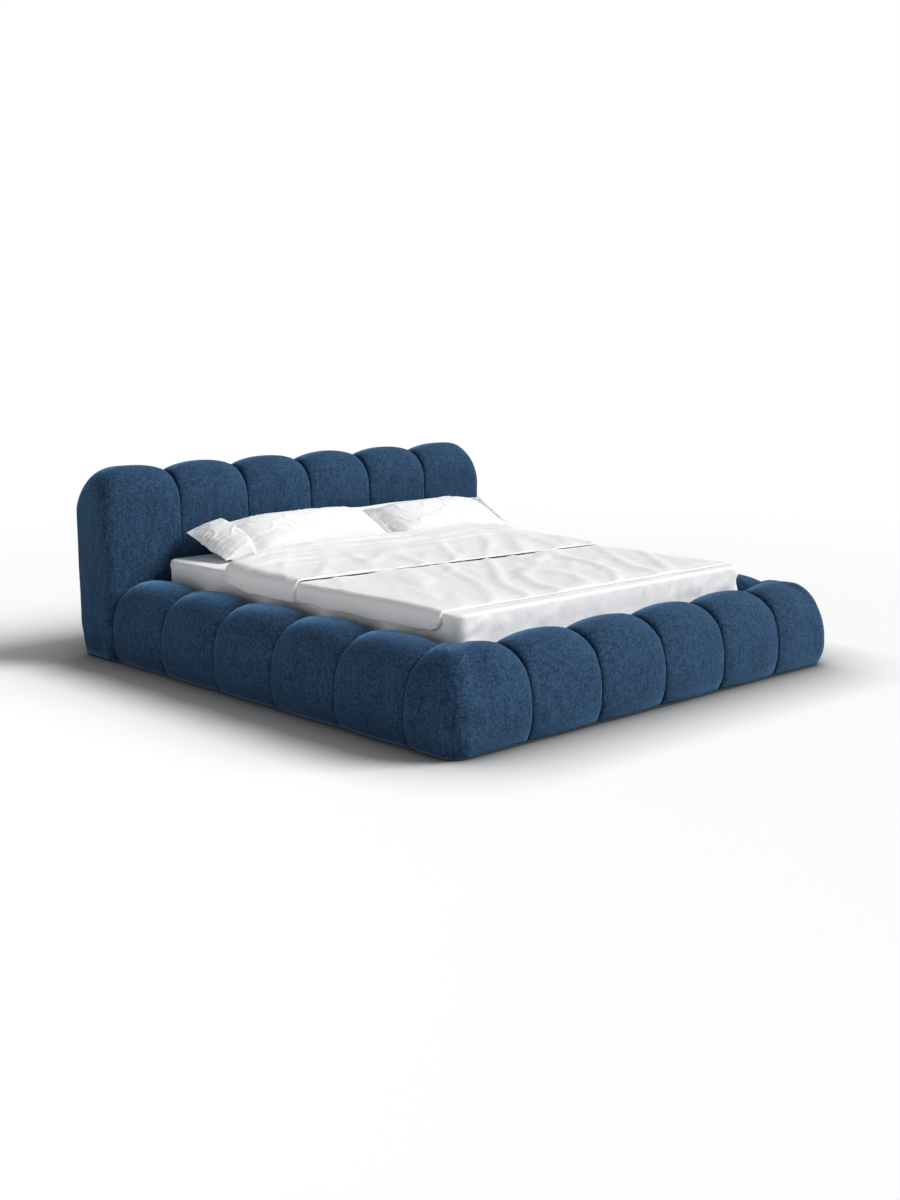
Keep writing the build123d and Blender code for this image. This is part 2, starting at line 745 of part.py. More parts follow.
upper_bolts = upper_bolts + [mirrored(piece) for piece in upper_bolts]
long_rail = block(
    base_half_width - base_rail_width, base_half_width, base_foot_y, base_head_y,
    base_rail_bottom, base_rail_top,
)
long_rail = single(long_rail - upper_bolts)
inner_x = base_half_width - base_rail_width
foot_cross = block(
    -inner_x, inner_x, base_foot_y, base_foot_y + base_rail_width, base_rail_bottom, base_rail_top
)
head_cross = block(
    -inner_x, inner_x, base_head_y - base_rail_width, base_head_y, base_rail_bottom, base_rail_top
)
half_rail = base_rail_width / 2
centre_rail = block(
    -half_rail, half_rail, base_foot_y + base_rail_width, base_head_y - base_rail_width,
    base_rail_bottom, base_rail_top,
)
slats = []
slat_pitch = (slat_last_y - slat_first_y) / (slat_count - 1)
for number in range(slat_count):
    y = slat_first_y + slat_pitch * number
    left_slat = block(
        -base_half_width + slat_end_gap, -slat_end_gap,
        y - slat_width / 2, y + slat_width / 2, base_rail_top, base_rail_top + slat_thickness,
    )
    slats.append(left_slat)
    slats.append(mirrored(left_slat))
bend = stop_bar_bend
low = Vector(-stop_bar_half_width, base_foot_y, stop_bar_low_z)
path_points = [
    low,
    Vector(low.X, stop_bar_y + bend, stop_bar_low_z),
    Vector(low.X, stop_bar_y, stop_bar_low_z + bend),
    Vector(low.X, stop_bar_y, stop_bar_top_z - bend),
    Vector(low.X + bend, stop_bar_y, stop_bar_top_z),
    Vector(-low.X - bend, stop_bar_y, stop_bar_top_z),
    Vector(-low.X, stop_bar_y, stop_bar_top_z - bend),
    Vector(-low.X, stop_bar_y, stop_bar_low_z + bend),
    Vector(-low.X, stop_bar_y + bend, stop_bar_low_z),
    Vector(-low.X, base_foot_y, stop_bar_low_z),
]
stop_bar = Pos(path_points[1]) * Sphere(stop_bar_radius)
for bend_point in path_points[2:-1]:
    stop_bar += Pos(bend_point) * Sphere(stop_bar_radius)
for first, second in zip(path_points[:-1], path_points[1:]):
    way = (second - first).normalized()
    stop_bar += rod_along(first, way, floor_level, (second - first).length, stop_bar_radius)
write("base_rail_right", long_rail)
write("base_rail_left", mirrored(long_rail))
write("base_inner_rails", foot_cross, head_cross, centre_rail)
write("base_slats", *slats)
write("mattress_stop_bar", single(stop_bar))
write("base_bolts", *upper_bolts)

# Mattress in its fitted sheet


def rounded_pad(grow, bottom, corner_radius_now, edge_radius_now):
    pad = block(
        -mattress_half_width - grow, mattress_half_width + grow,
        mattress_foot_y - grow, mattress_head_y + grow, bottom, mattress_top + grow,
    )
    pad = fillet(pad.edges().filter_by(Axis.Z), corner_radius_now)
    return fillet(pad.faces().sort_by(Axis.Z)[-1].edges(), edge_radius_now)


mattress = rounded_pad(floor_level, mattress_bottom, mattress_corner_radius, mattress_edge_radius)
sheet = rounded_pad(
    sheet_thickness, mattress_bottom + sheet_hem_rise,
    mattress_corner_radius + sheet_thickness, mattress_edge_radius + sheet_thickness,
)
sheet = single(sheet - mattress)
write("mattress", mattress)
write("fitted_sheet", sheet)

# Duvet, hanging over the left side, its head part turned down


def duvet_section(y, hem, wave, slant, lift):
    """A section across the bed: flat on top, bent over the left edge, hanging to its hem."""
    low_z = sheet_top + cover_gap
    high_z = low_z + duvet_thickness + lift
    in_x = -sheet_side - cover_gap
    out_x = in_x - duvet_side_thickness - lift
    bend_r = duvet_bend_radius
    near_share = 1 - math.sqrt(0.5)
    inner_r = mattress_edge_radius + sheet_thickness
    flat_shapes = {
        "right_low": (duvet_right_x, low_z),
        "right_high": (duvet_right_x, high_z - duvet_thickness / 2),
        "right_bulge": (duvet_right_x - bend_r * near_share, high_z - duvet_thickness / 6),
        "right_top": (duvet_right_x - bend_r, high_z),
        "top_middle": (floor_level, high_z + duvet_thickness / 4),
        "left_top": (out_x + bend_r, high_z),
        "left_bend": (out_x + bend_r * near_share, high_z - bend_r * near_share),
        "left_high": (out_x, high_z - bend_r),
        "left_wave": (out_x - wave, (high_z - bend_r + hem) / 2),
        "hem_out": (out_x - wave / 2, hem),
        "hem_in": (in_x, hem),
        "in_high": (in_x, low_z - inner_r),
        "in_bend": (in_x + inner_r * near_share, low_z - inner_r * near_share),
        "in_top": (in_x + inner_r, low_z),
    }
    points = {name: Vector(x, y + slant * x / sheet_side, z) for name, (x, z) in flat_shapes.items()}
    p = points
    edges = [
        Line(p["right_low"], p["right_high"]),
        ThreePointArc(p["right_high"], p["right_bulge"], p["right_top"]),
        ThreePointArc(p["right_top"], p["top_middle"], p["left_top"]),
        ThreePointArc(p["left_top"], p["left_bend"], p["left_high"]),
        ThreePointArc(p["left_high"], p["left_wave"], p["hem_out"]),
        Line(p["hem_out"], p["hem_in"]),
        Line(p["hem_in"], p["in_high"]),
        ThreePointArc(p["in_high"], p["in_bend"], p["in_top"]),
        Line(p["in_top"], p["right_low"]),
    ]
    return Wire(edges)


def duvet_layer(start_y, end_y, shares, hem_drops, waves, slants, lifts):
    wires = []
    for share, drop, wave, slant, lift in zip(shares, hem_drops, waves, slants, lifts):
        y = start_y + (end_y - start_y) * share
        wires.append(duvet_section(y, sheet_top - drop, wave, slant, lift))
    return Solid.make_loft(wires, False)


duvet_body = duvet_layer(
    duvet_foot_y, fold_line_y, duvet_shares, duvet_hem_drops, duvet_waves, duvet_slants, duvet_lifts
)
fold_back = duvet_layer(
    fold_line_y, duvet_head_y, fold_back_shares, fold_back_hem_drops, fold_back_waves,
    fold_back_slants, fold_back_lifts,
)
write("duvet", duvet_body + fold_back)

# Pillows, each leaning on what lies behind or below it


def pillow(spot, angles):
    x, head_distance, rise = spot
    tilt, turn = angles
    wires = []
    for share in pillow_shares:
        full = (1 - abs(share) ** pillow_power) ** (1 / pillow_power)
        half_depth = pillow_end_half_depth + (pillow_half_depth - pillow_end_half_depth) * full
        half_high = pillow_end_half_thickness + (pillow_half_thickness - pillow_end_half_thickness) * full
        station = pillow_half_length * share
        front = Vector(station, -half_depth, floor_level)
        back = Vector(station, half_depth, floor_level)
        top = ThreePointArc(front, Vector(station, floor_level, half_high), back)
        under = ThreePointArc(back, Vector(station, floor_level, -half_high), front)
        wires.append(Wire([top, under]))
    body = Solid.make_loft(wires, False)
    turned = Rot(0, 0, turn) * Rot(tilt, 0, 0) * body
    return Pos(x, mattress_head_y - head_distance, sheet_top + rise) * turned


def above(y, z, tilt):
    """Everything above a plane through (y, z), tilted about X."""
    space = Box(half_space * 2, half_space, half_space, align=(Align.CENTER, Align.CENTER, Align.MIN))
    return Pos(0, y, z) * Rot(tilt, 0, 0) * space


duvet_edge_top = sheet_top + cover_gap + duvet_thickness * 2 + max(fold_back_lifts)
below_rest = Rot(180, 0, 0) * above(0, -pillow_rest_z, 0)
over_duvet = block(
    -half_space, half_space, fold_line_y, duvet_head_y + cover_gap, floor_level, duvet_edge_top
)
over_lean = above(pillow_lean_y, pillow_lean_z, pillow_lean_angle)
under_lean = Pos(0, pillow_lean_y, pillow_lean_z) * Rot(pillow_lean_angle + 180, 0, 0)
under_lean = under_lean * above(0, -cover_gap, 0)
front_pillows = []
for spot, angles in (
    (left_front_pillow_spot, left_front_pillow_angles), (right_front_pillow_spot, right_front_pillow_angles)
):
    front_pillows.append(single(pillow(spot, angles) - below_rest - over_duvet - under_lean))
left_front_end_x = left_front_pillow_spot[0] - pillow_half_length - pillow_end_play
left_over_lean = over_lean & block(
    left_front_end_x, half_space, floor_level, half_space, floor_level, half_space
)
left_back = pillow(left_back_pillow_spot, left_back_pillow_angles) - left_over_lean
right_back = pillow(right_back_pillow_spot, right_back_pillow_angles) - over_lean
write("left_front_pillow", front_pillows[0])
write("right_front_pillow", front_pillows[1])
write("left_back_pillow", single(left_back - below_rest - over_duvet))
write("right_back_pillow", single(right_back - below_rest - over_duvet))
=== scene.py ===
import bmesh
import bpy
import math
from mathutils import Matrix, Vector, noise


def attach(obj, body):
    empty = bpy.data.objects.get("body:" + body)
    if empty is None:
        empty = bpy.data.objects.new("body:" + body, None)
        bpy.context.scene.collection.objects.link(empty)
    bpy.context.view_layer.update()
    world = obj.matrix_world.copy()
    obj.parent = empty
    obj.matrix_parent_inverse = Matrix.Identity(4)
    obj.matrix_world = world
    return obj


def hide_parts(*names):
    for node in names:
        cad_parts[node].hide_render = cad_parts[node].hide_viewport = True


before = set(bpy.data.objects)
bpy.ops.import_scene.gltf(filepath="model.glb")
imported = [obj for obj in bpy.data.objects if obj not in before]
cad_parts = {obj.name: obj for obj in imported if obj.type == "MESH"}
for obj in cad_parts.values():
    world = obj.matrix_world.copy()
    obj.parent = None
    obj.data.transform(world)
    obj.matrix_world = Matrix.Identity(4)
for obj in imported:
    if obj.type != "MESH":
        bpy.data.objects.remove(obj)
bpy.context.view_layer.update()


# Camera. It stands off the left foot corner at about standing eye height, well above the
# headboard, and looks down across the bed towards the far side of the headboard.
camera_spot = (-4.721, -5.063, 1.5325)
camera_data = bpy.data.cameras.new("room_camera")
camera_data.sensor_width = 36
camera_data.lens = 45.127
room_camera = bpy.data.objects.new("room_camera", camera_data)
bpy.context.scene.collection.objects.link(room_camera)
yaw, pitch, roll = math.radians(43.055), math.radians(-10.2575), math.radians(-0.208)
looking = Vector((math.sin(yaw) * math.cos(pitch), math.cos(yaw) * math.cos(pitch), math.sin(pitch)))
level_right = Vector((math.cos(yaw), -math.sin(yaw), 0))
level_up = level_right.cross(looking)
right = level_right * math.cos(roll) + level_up * math.sin(roll)
up = level_up * math.cos(roll) - level_right * math.sin(roll)
room_camera.matrix_world = Matrix((
    (right.x, up.x, -looking.x, camera_spot[0]),
    (right.y, up.y, -looking.y, camera_spot[1]),
    (right.z, up.z, -looking.z, camera_spot[2]),
    (0, 0, 0, 1),
))
bpy.context.scene.camera = room_camera


# Boards of the storage box. Melamine-faced board for the inner walls, centre board and floor,
# plywood strips under the padding; glued, screwed and hidden by the upholstery outside.
def effect_group(name, inputs, outputs):
    """A shader node group with named sockets: kind is Float, Color or Vector."""
    made = bpy.data.node_groups.new(name, "ShaderNodeTree")
    for label, kind, value in inputs:
        socket = made.interface.new_socket(label, in_out="INPUT", socket_type="NodeSocket" + kind)
        socket.default_value = value
    for label, kind in outputs:
        made.interface.new_socket(label, in_out="OUTPUT", socket_type="NodeSocket" + kind)
    return made, made.nodes.new("NodeGroupInput").outputs, made.nodes.new("NodeGroupOutput").inputs


def node(tree, kind, links=None, **settings):
    made = tree.nodes.new(kind)
    for key, value in settings.items():
        setattr(made, key, value)
    for key, value in (links or {}).items():
        if isinstance(value, bpy.types.NodeSocket):
            tree.links.new(value, made.inputs[key])
        else:
            made.inputs[key].default_value = value
    return made


def mixed(tree, factor, low, high, blend="MIX"):
    made = node(tree, "ShaderNodeMix", data_type="RGBA", blend_type=blend)
    for socket, value in ((made.inputs[0], factor), (made.inputs[6], low), (made.inputs[7], high)):
        if isinstance(value, bpy.types.NodeSocket):
            tree.links.new(value, socket)
        else:
            socket.default_value = value
    return made.outputs[2]


def sums(tree, action, first, second=0.0):
    return node(tree, "ShaderNodeMath", {0: first, 1: second}, operation=action).outputs[0]


def stretched(tree, spot, shares):
    """The place multiplied along each axis, which draws a pattern out or packs it."""
    return node(tree, "ShaderNodeVectorMath", {0: spot, 1: shares}, operation="MULTIPLY").outputs[0]


def material(name):
    made = bpy.data.materials.new(name)
    made.use_nodes = True
    return made, made.node_tree, made.node_tree.nodes["Principled BSDF"]


def bump(tree, shader, height, strength, distance):
    made = node(tree, "ShaderNodeBump", {"Height": height})
    made.inputs["Strength"].default_value = strength
    made.inputs["Distance"].default_value = distance
    tree.links.new(made.outputs[0], shader.inputs["Normal"])


def place_group(tree, group, **values):
    made = node(tree, "ShaderNodeGroup", node_tree=group)
    for key, value in values.items():
        made.inputs[key.replace("_", " ")].default_value = value
    return made.outputs


def finish_nodes(finish, *names):
    for name in names:
        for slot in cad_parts[name].material_slots:
            slot.link = "OBJECT"
            slot.material = finish


def timber_group():
    made, given, wanted = effect_group(
        "timber grain",
        (("Light", "Color", (0.6, 0.4, 0.2, 1)), ("Dark", "Color", (0.4, 0.25, 0.1, 1)),
         ("Stretch", "Vector", (1, 1, 1)), ("Ring Scale", "Float", 30.0)),
        (("Color", "Color"), ("Height", "Float"), ("Roughness", "Float")),
    )
    spot = node(made, "ShaderNodeTexCoord").outputs["Object"]
    long_way = stretched(made, spot, given["Stretch"])
    ring_links = {"Vector": long_way, "Scale": given["Ring Scale"], "Detail": 6.0}
    rings = node(made, "ShaderNodeTexNoise", ring_links)
    pores = node(made, "ShaderNodeTexNoise", {"Vector": long_way, "Scale": 260.0, "Detail": 3.0})
    ring_share = node(made, "ShaderNodeValToRGB", {"Fac": rings.outputs["Fac"]})
    ring_share.color_ramp.elements[0].position = 0.38
    ring_share.color_ramp.elements[1].position = 0.62
    both = sums(made, "MULTIPLY_ADD", pores.outputs["Fac"], 0.35)
    made.links.new(ring_share.outputs[0], both.node.inputs[2])
    colour = mixed(made, sums(made, "MULTIPLY", both, 0.75), given["Light"], given["Dark"])
    made.links.new(colour, wanted["Color"])
    made.links.new(both, wanted["Height"])
    rough = sums(made, "MULTIPLY_ADD", pores.outputs["Fac"], 0.2)
    rough.node.inputs[2].default_value = 0.45
    made.links.new(rough, wanted["Roughness"])
    return made


timber = timber_group()


def timber_finish(name, light, dark, stretch, ring_scale):
    made, tree, shader = material(name)
    grain = place_group(tree, timber, Light=light, Dark=dark, Stretch=stretch, Ring_Scale=ring_scale)
    tree.links.new(grain["Color"], shader.inputs["Base Color"])
    tree.links.new(grain["Roughness"], shader.inputs["Roughness"])
    bump(tree, shader, grain["Height"], 0.25, 0.0006)
    return made


def melamine_finish():
    made, tree, shader = material("white board")
    spot = node(tree, "ShaderNodeTexCoord").outputs["Object"]
    pearl = node(tree, "ShaderNodeTexNoise", {"Vector": spot, "Scale": 420.0, "Detail": 2.0})
    cloudy = node(tree, "ShaderNodeTexNoise", {"Vector": spot, "Scale": 5.0, "Detail": 3.0})
    colour = mixed(tree, cloudy.outputs["Fac"], (0.66, 0.65, 0.62, 1), (0.72, 0.71, 0.69, 1))
    tree.links.new(colour, shader.inputs["Base Color"])
    rough = sums(tree, "MULTIPLY_ADD", pearl.outputs["Fac"], 0.15)
    rough.node.inputs[2].default_value = 0.36
    tree.links.new(rough, shader.inputs["Roughness"])
    bump(tree, shader, pearl.outputs["Fac"], 0.2, 0.0003)
    return made


white_board = melamine_finish()
finish_nodes(
    white_board, "left_side_board", "right_side_board", "foot_board", "head_end_board",
    "centre_board", "storage_floor",
)
plywood = timber_finish("plywood", (0.48, 0.33, 0.18, 1), (0.33, 0.21, 0.1, 1), (1, 0.12, 9), 22.0)
finish_nodes(plywood, "bottom_boards")


# Ledges and the rails of the slatted base. Planed pine, unfinished; the ledges, with the beam
# across the head end, are screwed to the boards, and the base rails are glued and screwed.
pine_light, pine_dark = (0.66, 0.46, 0.25, 1), (0.5, 0.3, 0.13, 1)
pine_along = timber_finish("planed pine along", pine_light, pine_dark, (1.4, 0.09, 1.4), 26.0)
pine_across = timber_finish("planed pine across", pine_light, pine_dark, (0.09, 1.4, 1.4), 26.0)
finish_nodes(pine_along, "support_ledges", "base_rail_left", "base_rail_right")
finish_nodes(pine_across, "base_inner_rails")


# Slats. Thin beech laid across the base from the side rails to the inner rails, edges eased;
# they lie on the rails and carry the mattress.
beech_light, beech_dark = (0.7, 0.5, 0.3, 1), (0.55, 0.36, 0.19, 1)
beech = timber_finish("beech slats", beech_light, beech_dark, (0.07, 1.8, 1.8), 30.0)
finish_nodes(beech, "base_slats")


# Brackets, arms and stop bar. Pressed and flat steel with a grey powder coat, riveted at the
# pivots and bolted to the boards and rails with zinc-plated bolts.
def powder_group():
    made, given, wanted = effect_group(
        "powder coat",
        (("Colour", "Color", (0.1, 0.1, 0.1, 1)), ("Worn", "Color", (0.3, 0.3, 0.3, 1))),
        (("Color", "Color"), ("Height", "Float"), ("Roughness", "Float")),
    )
    spot = node(made, "ShaderNodeTexCoord").outputs["Object"]
    peel = node(made, "ShaderNodeTexNoise", {"Vector": spot, "Scale": 700.0, "Detail": 2.0})
    rubbed = node(made, "ShaderNodeTexNoise", {"Vector": spot, "Scale": 38.0, "Detail": 5.0})
    share = node(made, "ShaderNodeValToRGB", {"Fac": rubbed.outputs["Fac"]})
    share.color_ramp.elements[0].position = 0.6
    share.color_ramp.elements[1].position = 0.78
    made.links.new(mixed(made, share.outputs[0], given["Colour"], given["Worn"]), wanted["Color"])
    made.links.new(peel.outputs["Fac"], wanted["Height"])
    rough = sums(made, "MULTIPLY_ADD", peel.outputs["Fac"], 0.2)
    rough.node.inputs[2].default_value = 0.38
    made.links.new(rough, wanted["Roughness"])
    return made


powder = powder_group()


def coated_steel(name, colour, worn):
    made, tree, shader = material(name)
    coat = place_group(tree, powder, Colour=colour, Worn=worn)
    tree.links.new(coat["Color"], shader.inputs["Base Color"])
    tree.links.new(coat["Roughness"], shader.inputs["Roughness"])
    bump(tree, shader, coat["Height"], 0.3, 0.0002)
    return made


def bare_steel(name, colour, roughness, stretch):
    made, tree, shader = material(name)
    shader.inputs["Metallic"].default_value = 1.0
    spot = node(tree, "ShaderNodeTexCoord").outputs["Object"]
    drawn = stretched(tree, spot, stretch)
    lines = node(tree, "ShaderNodeTexNoise", {"Vector": drawn, "Scale": 300.0, "Detail": 3.0})
    darker = (colour[0] * 0.8, colour[1] * 0.8, colour[2] * 0.8, 1)
    tree.links.new(mixed(tree, lines.outputs["Fac"], darker, colour), shader.inputs["Base Color"])
    rough = sums(tree, "MULTIPLY_ADD", lines.outputs["Fac"], 0.15)
    rough.node.inputs[2].default_value = roughness
    tree.links.new(rough, shader.inputs["Roughness"])
    bump(tree, shader, lines.outputs["Fac"], 0.1, 0.0002)
    return made


grey_steel = coated_steel("grey powder coat", (0.085, 0.09, 0.095, 1), (0.13, 0.135, 0.14, 1))
finish_nodes(
    grey_steel, "corner_brackets", "lower_bracket_left", "lower_bracket_right",
    "upper_bracket_left", "upper_bracket_right", "front_arm_left", "front_arm_right",
    "rear_arm_left", "rear_arm_right", "mattress_stop_bar",
)
zinc = bare_steel("zinc plated bolts", (0.62, 0.63, 0.6, 1), 0.3, (1, 1, 1))
finish_nodes(zinc, "frame_bolts", "base_bolts")


# Gas springs. A black painted cylinder with an eye at its foot and a ground steel rod, held on
# studs between the lower and the upper bracket.
painted_black, rubbed_black = (0.012, 0.012, 0.013, 1), (0.02, 0.02, 0.022, 1)
black_paint = coated_steel("black cylinder paint", painted_black, rubbed_black)
finish_nodes(black_paint, "gas_cylinder_left", "gas_cylinder_right")
ground_rod = bare_steel("ground rod", (0.66, 0.66, 0.68, 1), 0.14, (6, 0.4, 0.4))
finish_nodes(ground_rod, "gas_rod_left", "gas_rod_right")


# Glides and base strip. Black moulded plastic discs nailed under the boards keep the cover off
# the floor, and a black strip runs round under the rim of the padding.
def moulded_plastic():
    made, tree, shader = material("black glide plastic")
    spot = node(tree, "ShaderNodeTexCoord").outputs["Object"]
    speck = node(tree, "ShaderNodeTexNoise", {"Vector": spot, "Scale": 900.0, "Detail": 2.0})
    tree.links.new(
        mixed(tree, speck.outputs["Fac"], (0.012, 0.012, 0.012, 1), (0.03, 0.03, 0.03, 1)),
        shader.inputs["Base Color"],
    )
    shader.inputs["Roughness"].default_value = 0.55
    bump(tree, shader, speck.outputs["Fac"], 0.2, 0.0002)
    return made


finish_nodes(moulded_plastic(), "floor_glides", "base_strip")


# Blue cover cloth. A soft flat-woven chenille in blue with lighter and darker threads, glued
# and stapled over foam; it catches light on the rounded edges of every channel.
def woven_group():
    made, given, wanted = effect_group(
        "woven threads",
        (("Light", "Color", (0.1, 0.2, 0.3, 1)), ("Dark", "Color", (0.02, 0.05, 0.1, 1)),
         ("Threads", "Float", 1500.0), ("Mottle", "Float", 190.0)),
        (("Color", "Color"), ("Height", "Float")),
    )
    spot = node(made, "ShaderNodeTexCoord").outputs["Object"]
    split = node(made, "ShaderNodeSeparateXYZ", {0: spot}).outputs
    waves = [sums(made, "SINE", sums(made, "MULTIPLY", part, given["Threads"])) for part in split]
    crossed = sums(made, "MULTIPLY", waves[0], waves[2])
    crossed = sums(made, "ADD", crossed, sums(made, "MULTIPLY", waves[1], waves[2]))
    crossed = sums(made, "ADD", crossed, sums(made, "MULTIPLY", waves[0], waves[1]))
    fine_links = {"Vector": spot, "Scale": given["Mottle"], "Detail": 4.0, "Roughness": 0.65}
    fine = node(made, "ShaderNodeTexNoise", fine_links)
    streaks = []
    for stretch, scale_share in (((1.0, 1.0, 6.0), 0.42), ((1.0, 1.0, 0.16), 0.9)):
        way = stretched(made, spot, stretch)
        streak = node(made, "ShaderNodeTexNoise", {"Vector": way, "Detail": 3.0, "Roughness": 0.6})
        scale = sums(made, "MULTIPLY", given["Mottle"], scale_share)
        made.links.new(scale, streak.inputs["Scale"])
        streaks.append(streak.outputs["Fac"])
    cloud = node(made, "ShaderNodeTexNoise", {"Vector": spot, "Scale": 6.0, "Detail": 3.0})
    share = sums(made, "MULTIPLY", fine.outputs["Fac"], 0.42)
    share = sums(made, "ADD", share, sums(made, "MULTIPLY", streaks[0], 0.28))
    share = sums(made, "ADD", share, sums(made, "MULTIPLY", streaks[1], 0.22))
    share = sums(made, "ADD", share, sums(made, "MULTIPLY", cloud.outputs["Fac"], 0.08))
    spread = node(made, "ShaderNodeMapRange", {"Value": share, "From Min": 0.41, "From Max": 0.59})
    made.links.new(mixed(made, spread.outputs[0], given["Dark"], given["Light"]), wanted["Color"])
    height = sums(made, "MULTIPLY", crossed, 0.2)
    height = sums(made, "ADD", height, sums(made, "MULTIPLY", share, 2.0))
    made.links.new(height, wanted["Height"])
    return made


threads = woven_group()


def cover_cloth(name, light, dark):
    made, tree, shader = material(name)
    woven = place_group(tree, threads, Light=light, Dark=dark, Threads=3600.0, Mottle=105.0)
    tree.links.new(woven["Color"], shader.inputs["Base Color"])
    shader.inputs["Roughness"].default_value = 0.95
    shader.inputs["Specular IOR Level"].default_value = 0.1
    shader.inputs["Sheen Weight"].default_value = 0.9
    shader.inputs["Sheen Roughness"].default_value = 0.35
    shader.inputs["Sheen Tint"].default_value = (0.2, 0.45, 0.8, 1)
    bump(tree, shader, woven["Height"], 0.4, 0.0012)
    return made


blue_cloth = cover_cloth("blue chenille", (0.036, 0.084, 0.162, 1), (0.007, 0.019, 0.044, 1))
finish_nodes(blue_cloth, "headboard_back_board")


# Side rail channels. Ten upright foam channels along the two sides, five on each, with a sewn
# seam drawn deep between them and a full round crown over the top. Sections are in millimetres,
# as reach from the outer line and height over the floor.
rail_seam = (
    (26, 8), (9, 48), (1, 120), (6, 203), (34, 278), (76, 308), (138, 333),
    (170, 338), (205, 331), (245, 308), (270, 272),
)
rail_crown = (
    (14, 8), (-4, 46), (-12, 120), (-4, 218), (20, 300), (60, 352), (130, 386),
    (165, 389), (202, 383), (245, 348), (270, 285),
)
rim_height = 8
rail_depth = 270
board_thickness, board_top, board_play = 18, 262, 3
box_half_width, box_foot, box_head = 915, -1026, 1026
head_bulge, panel_gap = 12, 0.3
mm = 0.001


def smooth_share(share):
    share = min(1.0, max(0.0, share))
    return share * share * (3 - 2 * share)


def round_rise(share, power):
    near = min(share, 1 - share)
    return max(0.0, 1 - (1 - 2 * near) ** power) ** (1 / power)


def seam_and_crown(seam, crown, share, from_seam):
    """Eleven points of a section: rounded at the foot, flat-fronted above it, arched on top."""
    pinch = 0.3 * math.exp(-from_seam / 0.004)
    points = []
    for number, (low, high) in enumerate(zip(seam, crown)):
        toward_top = min(1.0, max(0.0, (number - 2) / 4))
        front = (1.5, 2.2, 3.0)[min(number, 2)]
        full = round_rise(share, front) * (1 - toward_top) + round_rise(share, 2.15) * toward_top - pinch
        points.append((low[0] + (high[0] - low[0]) * full, low[1] + (high[1] - low[1]) * full))
    return points


def spread_points(a, c, count):
    """Points from a towards c on a straight line, c left out."""
    return [
        (a[0] + (c[0] - a[0]) * i / count, a[1] + (c[1] - a[1]) * i / count)
        for i in range(count)
    ]


def arc_through(a, b, c, count):
    """Points from a towards c on the arc through a, b and c, c left out."""
    ax, ay = a[0] - b[0], a[1] - b[1]
    cx, cy = c[0] - b[0], c[1] - b[1]
    cross = 2 * (ax * cy - ay * cx)
    if abs(cross) < 1e-6:
        return spread_points(a, c, count)
    aa, cc = ax * ax + ay * ay, cx * cx + cy * cy
    mx, my = (aa * cy - cc * ay) / cross, (cc * ax - aa * cx) / cross
    centre = (b[0] + mx, b[1] + my)
    radius = math.hypot(mx, my)
    start = math.atan2(a[1] - centre[1], a[0] - centre[0])
    middle = math.atan2(b[1] - centre[1], b[0] - centre[0])
    end = math.atan2(c[1] - centre[1], c[0] - centre[0])
    turn = (end - start) % (2 * math.pi)
    if (middle - start) % (2 * math.pi) > turn:
        turn -= 2 * math.pi
    angles = [start + turn * i / count for i in range(count)]
    return [(centre[0] + radius * math.cos(at), centre[1] + radius * math.sin(at)) for at in angles]


def section_ring(points, base_in, over_board=False, per_arc=11, base_count=5):
    """The closed outline of a section. Rail padding lies over and behind the edge of its board."""
    ring = []
    for first in range(0, 10, 2):
        ring.extend(arc_through(points[first], points[first + 1], points[first + 2], per_arc))
    turns = [points[10], (base_in, rim_height), points[0]]
    if over_board:
        above = board_top + board_play
        behind = base_in - board_thickness - board_play
        turns[1:2] = [(base_in, above), (behind, above), (behind, rim_height)]
    for start, end in zip(turns, turns[1:]):
        ring.extend(spread_points(start, end, base_count))
    return ring


def new_piece(name, points, faces, finish, smooth=True):
    mesh = bpy.data.meshes.new(name)
    mesh.from_pydata([tuple(point) for point in points], [], faces)
    mesh.validate()
    mesh.update()
    mesh.materials.append(finish)
    for face in mesh.polygons:
        face.use_smooth = smooth
    made = bpy.data.objects.new(name, mesh)
    bpy.context.scene.collection.objects.link(made)
    return made


def skin(rings, capped=True):
    """Faces over rings of equal length, closed round each ring."""
    count = len(rings[0])
    points = [point for ring in rings for point in ring]
    faces = []
    for row in range(len(rings) - 1):
        this, upper = row * count, (row + 1) * count
        for column in range(count):
            after = (column + 1) % count
            faces.append((this + column, this + after, upper + after, upper + column))
    if capped:
        faces.append(tuple(range(count - 1, -1, -1)))
        faces.append(tuple((len(rings) - 1) * count + i for i in range(count)))
    return points, faces


def outward(made):
    """Faces turned to look outwards."""
    work = bmesh.new()
    work.from_mesh(made.data)
    bmesh.ops.recalc_face_normals(work, faces=work.faces)
    work.to_mesh(made.data)
    work.free()


def tired_foam(made, seed, seams, size=0.0016):
    """Small unevenness of stuffed foam, with short puckers that run into each seam."""
    made.data.update()
    shift = Vector((seed * 3.1, seed * 1.7, seed * 2.3))
    moved = []
    for vertex in made.data.vertices:
        spot = vertex.co
        soft = noise.noise(spot * 5 + shift) * size + noise.noise(spot * 14 + shift) * size * 0.35
        from_seam = min(abs(spot[axis] - value) for axis, value in seams)
        pucker = math.exp(-from_seam / 0.022) * (1 - math.exp(-from_seam / 0.004))
        across = [axis for axis in range(3) if axis != seams[0][0]]
        run = spot[across[0]] * 34 + spot[across[1]] * 34
        soft += pucker * 0.0014 * noise.noise(Vector((run, seed * 1.3, from_seam * 6)))
        moved.append(spot + vertex.normal * soft if spot.z > (rim_height + 1) * mm else spot.copy())
    for vertex, spot in zip(made.data.vertices, moved):
        vertex.co = spot
    made.data.update()


def spread_shares(count):
    return [0.5 - 0.5 * math.cos(math.pi * i / count) for i in range(count + 1)]


